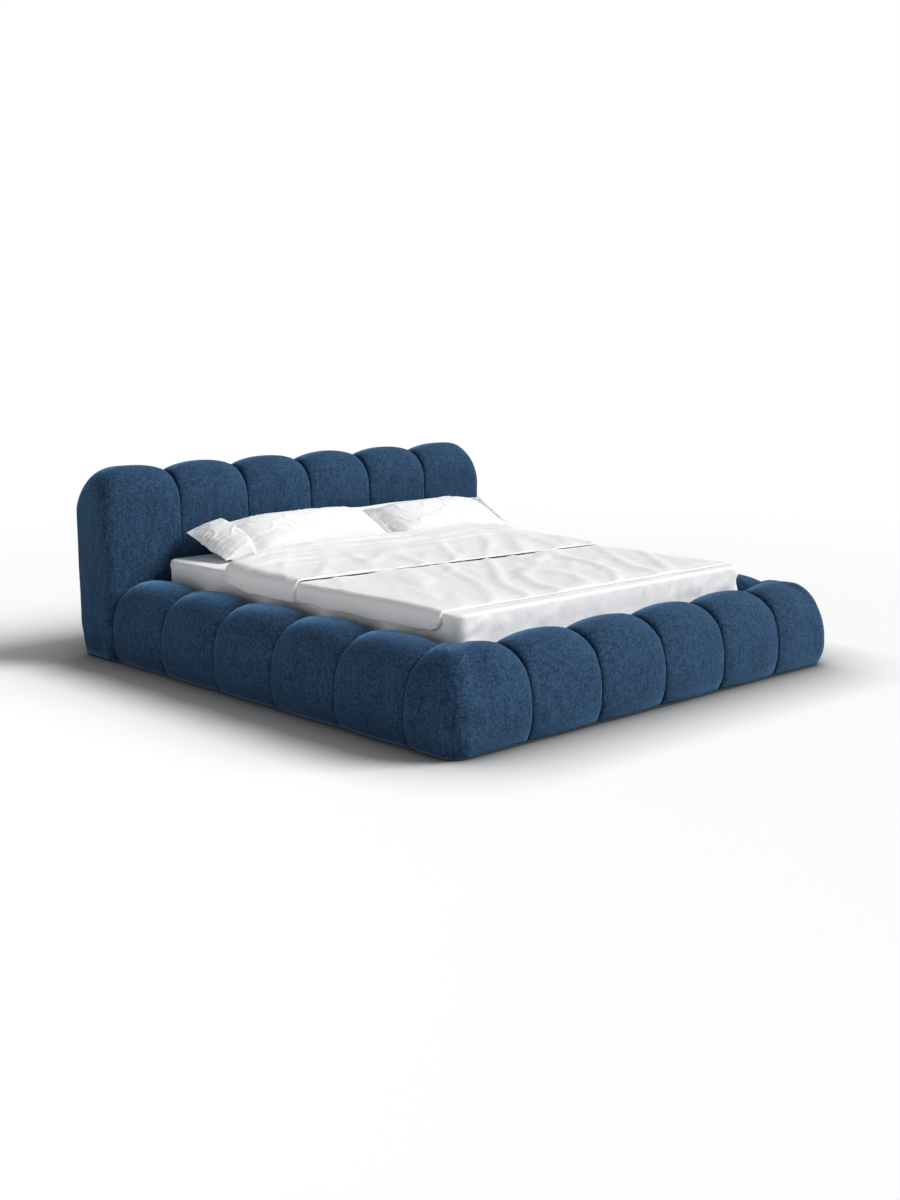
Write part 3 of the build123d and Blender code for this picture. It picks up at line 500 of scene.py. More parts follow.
def channel(name, seam, crown, depth, start, end, place, seed, axis):
    """One stuffed channel between two seams. Only the rails lie over the edge of a board."""
    rings = []
    over_board = seam is rail_seam
    for share in spread_shares(34):
        spot = start + (end - start) * share
        from_seam = min(share, 1 - share) * (end - start)
        section = section_ring(seam_and_crown(seam, crown, share, from_seam), depth, over_board)
        rings.append([place(spot, far * mm, high * mm) for far, high in section])
    made = new_piece(name, *skin(rings), blue_cloth)
    outward(made)
    tired_foam(made, seed, ((axis, start), (axis, end)))
    return made


rail_outer_x = (box_half_width + rail_depth) * mm


def left_rail(spot, far, high):
    return Vector((-rail_outer_x + far, spot, high))


def right_rail(spot, far, high):
    return Vector((rail_outer_x - far, spot, high))


def cover_piece(made, node_name):
    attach(made, "frame")
    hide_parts(node_name)


rail_foot_y = box_foot * mm
rail_head_y = (box_head - head_bulge - panel_gap) * mm
rail_pitch = (rail_head_y - rail_foot_y) / 5
for number in range(5):
    low = rail_foot_y + rail_pitch * number
    for side, place, seed in (("left", left_rail, number), ("right", right_rail, number + 20)):
        made = channel(
            f"{side}_side_channel_{number + 1}", rail_seam, rail_crown, rail_depth,
            low, low + rail_pitch, place, seed, 1,
        )
        cover_piece(made, f"{side}_side_cushion_{number + 1}")


# Foot rail channels. Four straight channels between two corner pieces. Each corner piece turns
# round the corner with an upright sewn seam on its edge and closes in a dome on top.
foot_outer = box_foot - rail_depth
across_pitch = 392
last_seam = 2 * across_pitch


def foot_rail(spot, far, high):
    return Vector((spot, foot_outer * mm + far, high))


for number in range(1, 5):
    low = (across_pitch * (number - 1) - last_seam) * mm
    high = low + across_pitch * mm
    made = channel(
        f"foot_channel_{number + 1}", rail_seam, rail_crown, rail_depth,
        low, high, foot_rail, number + 40, 0,
    )
    cover_piece(made, f"foot_cushion_{number + 1}")


corner_front_length = box_half_width - last_seam
corner_square, corner_rounding = 185.0, 85.0
corner_front_span, corner_side_span = 400, 330
blend_from, blend_to = 120, 188
dome_height, dome_from, dome_rise, dome_reach = 6, 130, 256, 165
edge_seam_high, edge_seam_fade, edge_seam_reach = 262, 34, 60
crown_top = 389


def corner_reach(angle):
    """Reach from the inner corner of the box to the rounded outer line, and the slant there."""
    flat = min(angle, math.pi / 2 - angle)
    if math.tan(flat) * rail_depth <= corner_square:
        return rail_depth / math.cos(flat), 1 / math.cos(flat)
    off = angle - math.pi / 4
    centre = corner_square * math.sqrt(2)
    chord = math.sqrt(corner_rounding ** 2 - (centre * math.sin(off)) ** 2)
    return centre * math.cos(off) + chord, corner_rounding / chord


def dome_drop(angle):
    """How far the top of the corner falls, most on the edge of the corner."""
    off = min(1.0, abs(math.degrees(angle) - 45) / 40)
    return dome_height * (1 - off * off) ** 1.5


def corner_stops():
    """Steps along the front as (None, distance), then swings round the corner as (angle, None)."""
    steps = [0.0] + [corner_front_length * (1 - math.cos(math.pi * i / 30)) for i in range(1, 15)]
    swings = [i * 1.5 for i in range(28)] + [42 + i * 0.4 for i in range(16)]
    swings += [48.4 + i * 1.4 for i in range(25)]
    swings += [83.4, 84.8, 86, 87, 88, 88.7, 89.2, 89.6, 90]
    return [(None, step) for step in steps] + [(math.radians(swing), None) for swing in swings]


def corner_stop_line(angle, distance):
    """Outer point, way inwards, reach and slant there, share of the channel, way to the seam."""
    if angle is None:
        outer = (-last_seam - distance, foot_outer)
        return outer, (0, 1), rail_depth, 1.0, distance / corner_front_span, distance
    reach, slant = corner_reach(angle)
    way = (math.sin(angle), math.cos(angle))
    outer = (-box_half_width - way[0] * reach, box_foot - way[1] * reach)
    along_front = corner_front_length + rail_depth * math.tan(min(angle, math.pi / 4))
    along_side = rail_depth * math.tan(min(math.pi / 2 - angle, math.pi / 4))
    share = min(along_front / corner_front_span, along_side / corner_side_span, 0.5)
    return outer, way, reach, slant, share, min(along_front, along_side)


def corner_run(angle, reach, slant, far, high):
    """How far in from the outer line a point lies, with the dome and the sewn edge."""
    run = far + reach - rail_depth
    if far <= blend_to:
        blend_in = max(0.0, (far - blend_from) / (blend_to - blend_from))
        run = far * slant * (1 - blend_in) + run * blend_in
    if angle is None:
        return run
    over_front = max(0.0, (high - dome_from) / dome_rise) ** 1.6
    run += dome_drop(angle) * 5.5 * over_front * max(0.0, 1 - far / dome_reach)
    if far < edge_seam_reach:
        edge = math.degrees(angle) - 45
        under_dome = min(1.0, max(0.0, (edge_seam_high - high) / edge_seam_fade))
        sewn = math.exp(-((edge / 0.75) ** 2)) * under_dome * (high > rim_height + 1)
        ridge = math.exp(-(((abs(edge) - 1.6) / 0.9) ** 2)) * under_dome
        run += 4.5 * sewn - 0.6 * ridge
    return run


def corner_channel(name, side, seed):
    """The corner piece: sections step along the front, then swing round the inner corner."""
    rings = []
    for angle, distance in corner_stops():
        outer, way, reach, slant, share, from_seam = corner_stop_line(angle, distance)
        drop = dome_drop(angle) if angle is not None else 0.0
        ring = []
        section = seam_and_crown(rail_seam, rail_crown, share, from_seam * mm)
        for far, high in section_ring(section, rail_depth, True):
            run = corner_run(angle, reach, slant, far, high)
            low = drop * (high - rim_height) / (crown_top - rim_height)
            x, y = outer[0] + way[0] * run, outer[1] + way[1] * run
            ring.append(Vector((side * -x * mm, y * mm, (high - low) * mm)))
        rings.append(ring)
    made = new_piece(name, *skin(rings), blue_cloth)
    outward(made)
    tired_foam(made, seed, ((0, side * last_seam * mm), (1, box_foot * mm)), 0.0013)
    return made


cover_piece(corner_channel("foot_corner_left", -1, 61), "foot_cushion_1")
cover_piece(corner_channel("foot_corner_right", 1, 62), "foot_cushion_6")


# Headboard channels. Six tall channels in the same cloth over foam, sewn together like those of
# the rails; the end ones are rounded off over the top corner and round the upright edges.
head_seam = (
    (20, 8), (5, 40), (0, 98), (0, 408), (6, 706), (30, 788), (92, 835),
    (124, 839), (170, 833), (228, 805), (282, 737),
)
head_crown = (
    (10, 8), (-6, 38), (-10, 98), (-12, 408), (-5, 723), (26, 846), (92, 896),
    (124, 900), (170, 894), (228, 866), (282, 795),
)
head_depth, head_top = 282, 900
head_round_start, head_round_length, head_end_span = 1034, 163, 400
corner_drop = 172
edge_from, edge_length, edge_inset = 1142, 55, 30


def headboard(spot, far, high):
    return Vector((spot, box_head * mm + far, high))


for number in range(1, 5):
    low = (across_pitch * (number - 1) - last_seam) * mm
    high = low + across_pitch * mm
    made = channel(
        f"headboard_channel_{number + 1}", head_seam, head_crown, head_depth,
        low, high, headboard, number + 70, 0,
    )
    cover_piece(made, f"headboard_cushion_{number + 1}")


def headboard_end(name, side, seed):
    """From the last seam outwards; the sections draw in and drop over the rounded end."""
    rings = []
    flat_length = head_round_start - last_seam
    flat_steps = [401 * (1 - math.cos(math.pi / 2 * i / 22)) for i in range(23)]
    stops = [(last_seam + step, None) for step in flat_steps if step < flat_length]
    stops += [(head_round_start, math.pi / 2 * i / 30) for i in range(31)]
    for x, turn in stops:
        drop, inset = 0.0, 0.0
        if turn is not None:
            x += head_round_length * math.sin(turn) ** 0.92
            drop = corner_drop * (1 - math.cos(turn)) ** 1.15
            edge = max(0.0, (x - edge_from) / edge_length)
            inset = edge_inset * (1 - math.sqrt(max(0.0, 1 - min(1.0, edge) ** 2)))
        share = min(0.5, (x - last_seam) / head_end_span)
        ring = []
        section = seam_and_crown(head_seam, head_crown, share, (x - last_seam) * mm)
        for far, high in section_ring(section, head_depth):
            high -= drop * (max(0.0, high - rim_height) / (head_top - rim_height)) ** 1.5
            run = inset + far * (head_depth - inset * 2) / head_depth
            ring.append(Vector((side * x * mm, (box_head + run) * mm, high * mm)))
        rings.append(ring)
    last = rings[-1]
    middle = sum(last, Vector()) / len(last)
    for share, push in ((0.86, 1.5), (0.6, 2.4), (0.3, 2.8), (0.04, 3.0)):
        ring = []
        for spot in last:
            drawn = middle + (spot - middle) * share
            ring.append(Vector((spot.x + side * push * mm, drawn.y, max(rim_height * mm, drawn.z))))
        rings.append(ring)
    made = new_piece(name, *skin(rings), blue_cloth)
    outward(made)
    tired_foam(made, seed, ((0, side * last_seam * mm),))
    for vertex in made.data.vertices:
        low = max(0.0, 1 - (vertex.co.z - rim_height * mm) / 0.036)
        tucked = 0.014 * (1 - math.sqrt(1 - low * low))
        vertex.co.x -= side * tucked * smooth_share((abs(vertex.co.x) - 1.08) / 0.1)
        vertex.co.y -= tucked * smooth_share((vertex.co.y - 1.22) / 0.07)
    return made


cover_piece(headboard_end("headboard_end_left", -1, 81), "headboard_cushion_1")
cover_piece(headboard_end("headboard_end_right", 1, 82), "headboard_cushion_6")


# Mattress. A foam block in a quilted white cover with a taped edge round the top and bottom;
# it lies on the slats and is kept in place by the stop bar.
def plain_cloth(name, light, dark, weave, crinkle, strength):
    made, tree, shader = material(name)
    woven = place_group(tree, threads, Light=light, Dark=dark, Threads=5200.0, Mottle=weave)
    tree.links.new(woven["Color"], shader.inputs["Base Color"])
    shader.inputs["Roughness"].default_value = 0.85
    shader.inputs["Specular IOR Level"].default_value = 0.25
    shader.inputs["Sheen Weight"].default_value = 0.1
    spot = node(tree, "ShaderNodeTexCoord").outputs["Object"]
    crinkle_links = {"Vector": spot, "Scale": crinkle, "Detail": 5.0, "Roughness": 0.55}
    creases = node(tree, "ShaderNodeTexNoise", crinkle_links)
    threads_share = sums(tree, "MULTIPLY", woven["Height"], 0.02)
    height = sums(tree, "ADD", creases.outputs["Fac"], threads_share)
    bump(tree, shader, height, strength, 0.012)
    return made


def rounded_outline(half_x, low_y, high_y, radius, per_side=40, per_corner=10):
    """Points and outward ways round a rounded rectangle, anticlockwise from the right side."""
    found = []
    corners = (
        (half_x - radius, high_y - radius, 0), (-half_x + radius, high_y - radius, 90),
        (-half_x + radius, low_y + radius, 180), (half_x - radius, low_y + radius, 270),
    )
    for number, (cx, cy, first) in enumerate(corners):
        for i in range(per_corner + 1):
            angle = math.radians(first + 90 * i / per_corner)
            way = (math.cos(angle), math.sin(angle))
            found.append((cx + radius * way[0], cy + radius * way[1], *way))
        nx, ny, _ = corners[(number + 1) % 4]
        angle = math.radians(first + 90)
        way = (math.cos(angle), math.sin(angle))
        sx, sy = cx + radius * way[0], cy + radius * way[1]
        ex, ey = nx + radius * way[0], ny + radius * way[1]
        for i in range(1, per_side):
            share = i / per_side
            found.append((sx + (ex - sx) * share, sy + (ey - sy) * share, *way))
    return found


mattress_half_x, mattress_foot_y, mattress_head_y = 0.898, -1.004, 0.992
mattress_low, mattress_high, mattress_edge, mattress_corner = 0.24, 0.46, 0.014, 0.058
mattress_side_levels = (
    (0.0035, 0.262), (0.0, 0.268), (0.003, 0.29), (0.001, 0.32), (0.003, 0.35),
    (0.001, 0.38), (0.003, 0.41), (0.0, 0.434), (0.0035, 0.44),
)


def mattress_block():
    """Levels as inset and height: a rounded edge, the taped and wavy side, a rounded edge."""
    outline = rounded_outline(
        mattress_half_x, mattress_foot_y, mattress_head_y, mattress_corner, 46, 8,
    )
    levels = []
    for i in range(7):
        turn = math.pi / 2 * (1 - i / 6)
        inset = mattress_edge * (1 - math.cos(turn))
        levels.append((inset, mattress_low + mattress_edge * (1 - math.sin(turn))))
    levels += mattress_side_levels
    for i in range(7):
        turn = math.pi / 2 * i / 6
        inset = mattress_edge * (1 - math.cos(turn))
        levels.append((inset, mattress_high - mattress_edge * (1 - math.sin(turn))))
    rings = []
    for inset, high in levels:
        rings.append([Vector((x - nx * inset, y - ny * inset, high)) for x, y, nx, ny in outline])
    made = new_piece("mattress_block", *skin(rings), mattress_cover)
    outward(made)
    return made


ticking_light, ticking_dark = (0.8, 0.8, 0.81, 1), (0.7, 0.7, 0.72, 1)
mattress_cover = plain_cloth("mattress ticking", ticking_light, ticking_dark, 90.0, 30.0, 0.12)
mattress_piece = mattress_block()
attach(mattress_piece, "lifting_base")
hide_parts("mattress")


# Fitted sheet. White cotton pulled over the mattress with elastic in its hem, tight on top
# with short pulls at the corners and loose creases down the sides.
sheet_cloth_thickness, sheet_hem_z = 0.0015, 0.2465
sheet_edge = mattress_edge + sheet_cloth_thickness
sheet_high, sheet_side_height = 0.461, 0.199


def fitted_sheet():
    """Levels as inset and height up the sides and over the edge, then rings across the top."""
    outline = rounded_outline(
        mattress_half_x + sheet_cloth_thickness, mattress_foot_y - sheet_cloth_thickness,
        mattress_head_y + sheet_cloth_thickness, mattress_corner + sheet_cloth_thickness, 190, 14,
    )
    levels = [(0.0, sheet_hem_z + sheet_side_height * i / 18) for i in range(19)]
    for i in range(1, 9):
        turn = math.pi / 2 * i / 8
        inset = sheet_edge * (1 - math.cos(turn))
        levels.append((inset, sheet_hem_z + sheet_side_height + sheet_edge * math.sin(turn)))
    rings = []
    for inset, high in levels:
        ring = []
        for x, y, nx, ny in outline:
            off_corner = abs(x) - 0.87, min(abs(y + 0.975), abs(y - 0.963))
            corner = math.exp(-(off_corner[0] ** 2 + off_corner[1] ** 2) / 0.02)
            lean = noise.noise(Vector((x * 5 - high * 9, y * 5 + high * 9, 3.1)))
            pulls = noise.noise(Vector((x * 16 - high * 14, y * 16 + high * 14, high * 3)))
            below_edge = min(1.0, (0.462 - high) / 0.03)
            loose = (0.7 + corner) * below_edge * (0.008 * lean + 0.009 * pulls)
            out = -inset + max(-0.0006, loose)
            ring.append(Vector((x + nx * out, y + ny * out, high)))
        rings.append(ring)
    top = rings[-1]
    centre = Vector((0, (mattress_foot_y + mattress_head_y) / 2, sheet_high))
    for share in (0.985, 0.96, 0.92, 0.86, 0.78, 0.68, 0.56, 0.42, 0.28, 0.14, 0.03):
        ring = []
        for spot in top:
            flat = centre + (spot - centre) * share
            wave = 0.0016 * noise.noise(Vector((flat.x * 7, flat.y * 10, 7.7)))
            wave = max(-0.0004, wave) * min(1.0, (1 - share) * 14)
            ring.append(Vector((flat.x, flat.y, sheet_high + wave)))
        rings.append(ring)
    points, faces = skin(rings, capped=False)
    count = len(top)
    faces.append(tuple((len(rings) - 1) * count + i for i in range(count)))
    return new_piece("fitted_sheet_cloth", points, faces, sheet_cotton)


cotton_light, cotton_dark = (0.88, 0.88, 0.88, 1), (0.85, 0.85, 0.855, 1)
sheet_cotton = plain_cloth("sheet cotton", cotton_light, cotton_dark, 150.0, 9.0, 0.35)
sheet_piece = fitted_sheet()
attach(sheet_piece, "lifting_base")
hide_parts("fitted_sheet")


# Duvet. A white quilt laid on the sheet, hanging over the left edge, its head part folded back
# over itself towards the foot, so that it lies double and puffs up below the pillows.
duvet_hems = (
    (-0.945, 0.424), (-0.93, 0.4), (-0.9, 0.386), (-0.8, 0.380), (-0.69, 0.384), (-0.57, 0.379),
    (-0.45, 0.385), (-0.33, 0.381), (-0.21, 0.386), (-0.09, 0.383), (0.03, 0.382), (0.15, 0.386),
    (0.27, 0.384), (0.38, 0.388), (0.46, 0.398), (0.54, 0.408), (0.62, 0.42), (0.7, 0.43),
)
duvet_askew = ((-0.945, -0.015), (-0.6, -0.05), (-0.12, -0.077), (0.38, -0.03), (0.66, 0.0))
folded_thickness = (
    (-0.12, 0.013), (0.1, 0.018), (0.3, 0.025), (0.5, 0.034), (0.6, 0.038), (0.66, 0.034),
)
duvet_edge_x, sheet_side_x, sheet_top_z = 0.876, -0.9026, 0.4626
duvet_bend, duvet_thickness = 0.016, 0.0122
duvet_foot_y, under_layer_end_y = -0.945, 0.57
fold_line_y, duvet_head_y = -0.12, 0.655


def along_table(table, value):
    for (a, low), (b, high) in zip(table[:-1], table[1:]):
        if value <= b:
            return low + (high - low) * smooth_share((value - a) / (b - a))
    return table[-1][1]


def crease(x, y, z, width):
    """A rounded crest along a wandering line, 1 on the line and 0 away from it."""
    return smooth_share(1 - abs(noise.noise(Vector((x, y, z)))) / width)


def quilt_folds(x, y, z, seed):
    """Long soft folds beside the pillows, slanted creases towards the foot corner."""
    near_pillows = smooth_share((y - 0.05) / 0.4)
    long_fold = crease(x * 1.3 + seed, (y + x * 0.12) * 11, seed * 0.7, 0.36)
    long_crease = crease(x * 2.1 - seed, (y + x * 0.2) * 21, seed + 5.0, 0.25)
    across, along = x * 0.85 - y * 0.5, x * 0.5 + y * 0.85
    slanted = crease(across * 5.5 + seed, along * 1.5, 4.2, 0.22)
    sharp = crease(across * 8, along * 1.6 + z * 5, seed + 8.0, 0.12)
    fine = noise.noise(Vector((x * 21 + z * 15, y * 17, seed + 1.0)))
    broad = noise.noise(Vector((x * 1.9 + seed, y * 2.4, 0.3)))
    edge_calm = 1 - 0.75 * smooth_share((-x - 0.72) / 0.15)
    beside_pillows = near_pillows * (0.0085 * long_fold + 0.0035 * long_crease)
    towards_foot = (1 - 0.75 * near_pillows) * (0.0075 * slanted + 0.0035 * sharp)
    return 0.006 * broad + edge_calm * (beside_pillows + towards_foot) + 0.0008 * fine


def quilt_path(lift_top, lift_side, hem):
    """Points and outward ways over the bed from the right edge to the hem on the left."""
    found = []
    for i in range(73):
        x = duvet_edge_x - (duvet_edge_x + 0.885) * i / 72
        found.append((x, sheet_top_z + lift_top, 0.0, 1.0))
    centre = (sheet_side_x + duvet_bend, sheet_top_z - duvet_bend)
    for i in range(1, 10):
        angle = math.pi / 2 * i / 9
        way = (-math.sin(angle), math.cos(angle))
        reach = duvet_bend + lift_top + (lift_side - lift_top) * i / 9
        found.append((centre[0] + way[0] * reach, centre[1] + way[1] * reach, *way))
    for i in range(1, 17):
        high = centre[1] + (hem - centre[1]) * i / 16
        found.append((sheet_side_x - lift_side, high, -1.0, 0.0))
    return found


def quilt(name, stops, bounds, low_of, thick_of, seed):
    """A closed quilt layer. The functions give its underside and its thickness at each y."""
    rings = []
    for y in stops:
        low = low_of(y)
        thick = thick_of(y) * (0.55 + 0.45 * smooth_share((y - bounds[0]) / 0.07))
        hem = along_table(duvet_hems, y)
        end_share = min(1.0, (y - bounds[0]) / 0.006, (bounds[1] - y) / 0.028)
        end_round = math.sqrt(max(0.0, 1 - (1 - max(0.0, end_share)) ** 2))
        side_low = min(low, 0.0145)
        side_thick = max(0.006, 0.0115 + (thick - 0.0115) * 0.35)
        outer = quilt_path(low + thick, side_low + side_thick, hem)
        inner = quilt_path(low, side_low, hem + 0.002)
        total = len(outer) - 1
        up_row, low_row = [], []
        for column, (x, z, way_x, way_z) in enumerate(outer):
            below_top = min(1.0, max(0.0, (sheet_top_z - 0.004 - z) / 0.05))
            hang = below_top if way_x < -0.3 else 0.0
            edge = min(1.0, column / 4.0, (total - column) / 2.5)
            edge_round = math.sqrt(max(0.0, 1 - (1 - edge) ** 2))
            puff = quilt_folds(x, y, z, seed)
            puff += hang * 0.008 * (0.7 + noise.noise(Vector((2.0, y * 7.5, seed + 2.0))))
            crumple = math.exp(-(y - bounds[0]) / 0.045) * hang
            puff += 0.012 * crumple * noise.noise(Vector((z * 45, y * 22, seed + 3.0)))
            under_x, under_z = inner[column][0], inner[column][1]
            full = edge_round * (0.25 + 0.75 * end_round)
            out_x = under_x + (x + way_x * puff - under_x) * full
            out_z = under_z + (z + way_z * puff - under_z) * full
            drawn_back = smooth_share((-x - 0.5) / 0.42) * smooth_share((y - 0.05) / 0.6)
            spot_y = y + along_table(duvet_askew, y) * x / 0.9 - 0.17 * drawn_back
            up_row.append(Vector((out_x, spot_y, out_z)))
            low_row.append(Vector((under_x, spot_y, under_z)))
        rings.append(up_row + list(reversed(low_row)))
    made = new_piece(name, *skin(rings), duvet_cotton)
    outward(made)
    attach(made, "lifting_base")
    return made


def past_under_layer(y):
    """0 over the under layer, 1 where the folded part has come down on the sheet."""
    return min(1.0, max(0.0, (y - under_layer_end_y - 0.015) / 0.03))


def folded_underside(y):
    """Above the first layer, gaping a little at the turned-down edge, on the sheet at the head."""
    gape = 0.0045 * math.exp(-max(0.0, y - fold_line_y) / 0.02)
    past_layer = past_under_layer(y)
    return (0.0142 + gape) * (1 - past_layer) + 0.0002 * past_layer


def folded_thick(y):
    return along_table(folded_thickness, y) + 0.012 * past_under_layer(y)


duvet_cotton = plain_cloth("duvet cotton", cotton_light, cotton_dark, 160.0, 8.0, 0.35)
under_stops = [duvet_foot_y, -0.9445, -0.943, -0.941, -0.9385, -0.935, -0.93]
under_stops += [-0.92 + 0.009 * i for i in range(163)]
under_stops += [0.5525, 0.56, 0.566, under_layer_end_y]
over_stops = [fold_line_y + step for step in (0.0, 0.0005, 0.002, 0.004, 0.0065, 0.01, 0.015)]
over_stops += [-0.098 + 0.0085 * i for i in range(84)]
over_stops += [0.6145, 0.621, 0.628, 0.6345, 0.64, 0.6445, 0.648, 0.651, 0.653, 0.6545]
over_stops += [duvet_head_y]
duvet_under = quilt(
    "duvet_under_layer", under_stops, (duvet_foot_y, under_layer_end_y),
    lambda y: 0.0, lambda y: duvet_thickness, 1.0,
)
quilt(
    "duvet_folded_layer", over_stops, (fold_line_y, duvet_head_y),
    folded_underside, folded_thick, 5.0,
)
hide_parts("duvet")


# Pillows. Four long pillows in white cotton covers, two at each side: one lying at the back and
# one in front on top of it. A cover is two panels sewn together and filled until they pucker.
cover_length, cover_depth, cover_filling = 0.88, 0.385, 0.029
filling_moments = 40


def blank_cover():
    """Two panels with a common seam, a little apart in the middle, as points and faces."""
    across, deep = 104, 46
    points, faces, numbers = [], [], {}
    for layer in (1, -1):
        for i in range(across + 1):
            for j in range(deep + 1):
                if layer < 0 and (i in (0, across) or j in (0, deep)):
                    numbers[layer, i, j] = numbers[1, i, j]
                    continue
                u, v = i / across * 2 - 1, j / deep * 2 - 1
                lift = 0.045 * (1 - u ** 4) * (1 - v ** 4)
                uneven = noise.noise(Vector((u * 6, v * 4, layer * 3.0)))
                lift += 0.0015 * uneven * (1 - u * u) * (1 - v * v)
                numbers[layer, i, j] = len(points)
                points.append(Vector((cover_length * u / 2, cover_depth * v / 2, lift * layer)))
        for i in range(across):
            for j in range(deep):
                corners = ((i, j), (i + 1, j), (i + 1, j + 1), (i, j + 1))
                face = [numbers[(layer, *corner)] for corner in corners]
                faces.append(tuple(face if layer > 0 else reversed(face)))
    return points, faces


def filled_cover():
    """The sewn cover blown up by its filling, as points and faces."""
    blank = new_piece("pillow_blank", *blank_cover(), pillow_cotton)
    filling = blank.modifiers.new("filling", "CLOTH")
    filling.point_cache.frame_end = filling_moments
    filling.collision_settings.use_collision = False
    cloth = filling.settings
    cloth.quality, cloth.mass, cloth.air_damping = 4, 0.2, 10
    cloth.tension_stiffness, cloth.compression_stiffness = 60, 60
    cloth.shear_stiffness, cloth.bending_stiffness = 5, 0.1
    cloth.tension_damping = cloth.compression_damping = cloth.shear_damping = 12
    cloth.use_pressure, cloth.uniform_pressure_force = True, 0
    cloth.use_pressure_volume, cloth.target_volume = True, cover_filling
    cloth.pressure_factor = 20
    cloth.effector_weights.gravity = 0
    for moment in range(1, filling_moments + 1):
        bpy.context.scene.frame_set(moment)
    smoothed = blank.modifiers.new("smoothed", "SUBSURF")
    smoothed.levels = 1
    graph = bpy.context.evaluated_depsgraph_get()
    full = bpy.data.meshes.new_from_object(blank.evaluated_get(graph))
    points = [vertex.co.copy() for vertex in full.vertices]
    faces = [tuple(face.vertices) for face in full.polygons]
    bpy.context.scene.frame_set(1)
    bpy.data.objects.remove(blank)
    return points, faces


lean_angle = math.radians(27)
lean_way = Vector((0, -math.sin(lean_angle), math.cos(lean_angle)))
lean_spot = Vector((0, 0.775, 0.541))
pillow_gap, pillow_rest_z = 0.0006, 0.4632
past_duvet_y, above_duvet_z = 0.664, 0.57


def sagged(x):
    """How much lower the upper pillow lies on the lower one near its own ends."""
    left_end = 0.035 * smooth_share(1 - abs(x + 0.64) / 0.28)
    return left_end + 0.012 * smooth_share(1 - abs(x - 0.22) / 0.28)


def gathers(u, v, seed):
    """Depth of the creases: fanned out from the end seams, short at the long seams, soft pulls."""
    near_end = math.exp(-(1 - abs(u)) / 0.16) * min(1.0, (1 - abs(u)) / 0.03)
    spread = v * (1.5 - 0.5 * abs(u))
    fan = noise.noise(Vector((spread * 9 + seed, u * 0.8, seed)))
    fan += 0.7 * noise.noise(Vector((spread * 19 + seed, u * 1.2, seed + 4.0)))
    sides = math.exp(-(1 - abs(v)) / 0.3) * min(1.0, (1 - abs(v)) / 0.08)
    pucker = noise.noise(Vector((u * 19 + v * 3 + seed, v * 1.2, seed + 5.0)))
    pull_spot = Vector((u * 4.2 + v * 1.6 + seed, v * 1.5 - u * 1.5, seed * 2.0))
    pulls = 1 - 6 * abs(noise.noise(pull_spot))
    return 0.008 * near_end * fan + 0.006 * sides * pucker + 0.003 * max(0.0, pulls)


def rested(spot, covered_from):
    """The point kept clear of the other pillow, the duvet's end and the sheet.

    A front pillow has no covered_from and lies over the leaning plane between the pillows; a back
    pillow lies under it from that x on."""
    over = (spot - lean_spot).dot(lean_way) + sagged(spot.x)
    if covered_from is None:
        spot += lean_way * max(0.0, pillow_gap - over)
    else:
        covered = min(1.0, max(0.0, (spot.x - covered_from) / 0.05))
        spot -= lean_way * max(0.0, over + pillow_gap) * covered
    if spot.z < above_duvet_z:
        past = spot.y - past_duvet_y
        spot.y = past_duvet_y + (past + math.sqrt(past ** 2 + 0.00012)) / 2
    spot.z = max(spot.z, pillow_rest_z)
    return spot


def laid_pillow(name, spot, angles, size, ends, droops, flips, seed, covered_from):
    """The filled cover laid down: angles tilt and turn it, size holds half its length, depth and
    thickness, ends say how far from a seam it thins and how thin it gets, and droops how much
    its left and right end hang."""
    reach = [max(abs(point[axis]) for point in cover_points) for axis in range(3)]
    laid = Matrix.Translation(Vector(spot)) @ Matrix.Rotation(math.radians(angles[1]), 4, "Z")
    laid = laid @ Matrix.Rotation(math.radians(angles[0]), 4, "X")
    end_share, end_thickness_share = ends
    points = []
    for point in cover_points:
        x, y, z = (point[axis] / reach[axis] * size[axis] * flips[axis] for axis in range(3))
        u, v = x / size[0], y / size[1]
        full = 1 - (1 - min(1.0, (1 - abs(u)) / end_share)) ** 1.7
        off_seam = min(1.0, abs(z) / 0.02)
        z *= end_thickness_share + (1 - end_thickness_share) * full
        y *= 0.94 + 0.06 * full
        if covered_from is not None and z < 0:
            z *= 1.4
        z += off_seam * math.copysign(1.0, z) * gathers(u, v, seed)
        z -= droops[0 if u < 0 else 1] * u ** 4
        points.append(rested(laid @ Vector((x, y, z)), covered_from))
    made = new_piece(name + "_cover", points, cover_faces, pillow_cotton)
    outward(made)
    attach(made, "lifting_base")
    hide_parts(name)


pillow_cotton = plain_cloth("pillow cotton", cotton_light, cotton_dark, 170.0, 14.0, 0.35)
cover_points, cover_faces = filled_cover()
covered_from_x = -0.63
laid_pillow(
    "left_back_pillow", (-0.355, 0.82, 0.562), (18, 2), (0.435, 0.175, 0.068), (0.2, 0.5),
    (0.036, 0.02), (1, 1, 1), 3.0, covered_from_x,
)
laid_pillow(
    "right_back_pillow", (0.5, 0.81, 0.545), (34, -1), (0.42, 0.168, 0.066), (0.2, 0.5),
    (0.02, 0.02), (-1, 1, 1), 11.0, covered_from_x,
)
laid_pillow(
    "left_front_pillow", (-0.211, 0.772, 0.549), (26, 0), (0.425, 0.168, 0.066), (0.24, 0.2),
    (0.032, 0.012), (1, -1, 1), 17.0, None,
)
laid_pillow(
    "right_front_pillow", (0.66, 0.77, 0.537), (25, -1), (0.412, 0.168, 0.065), (0.25, 0.16),
    (0.036, 0.03), (-1, -1, 1), 29.0, None,
)


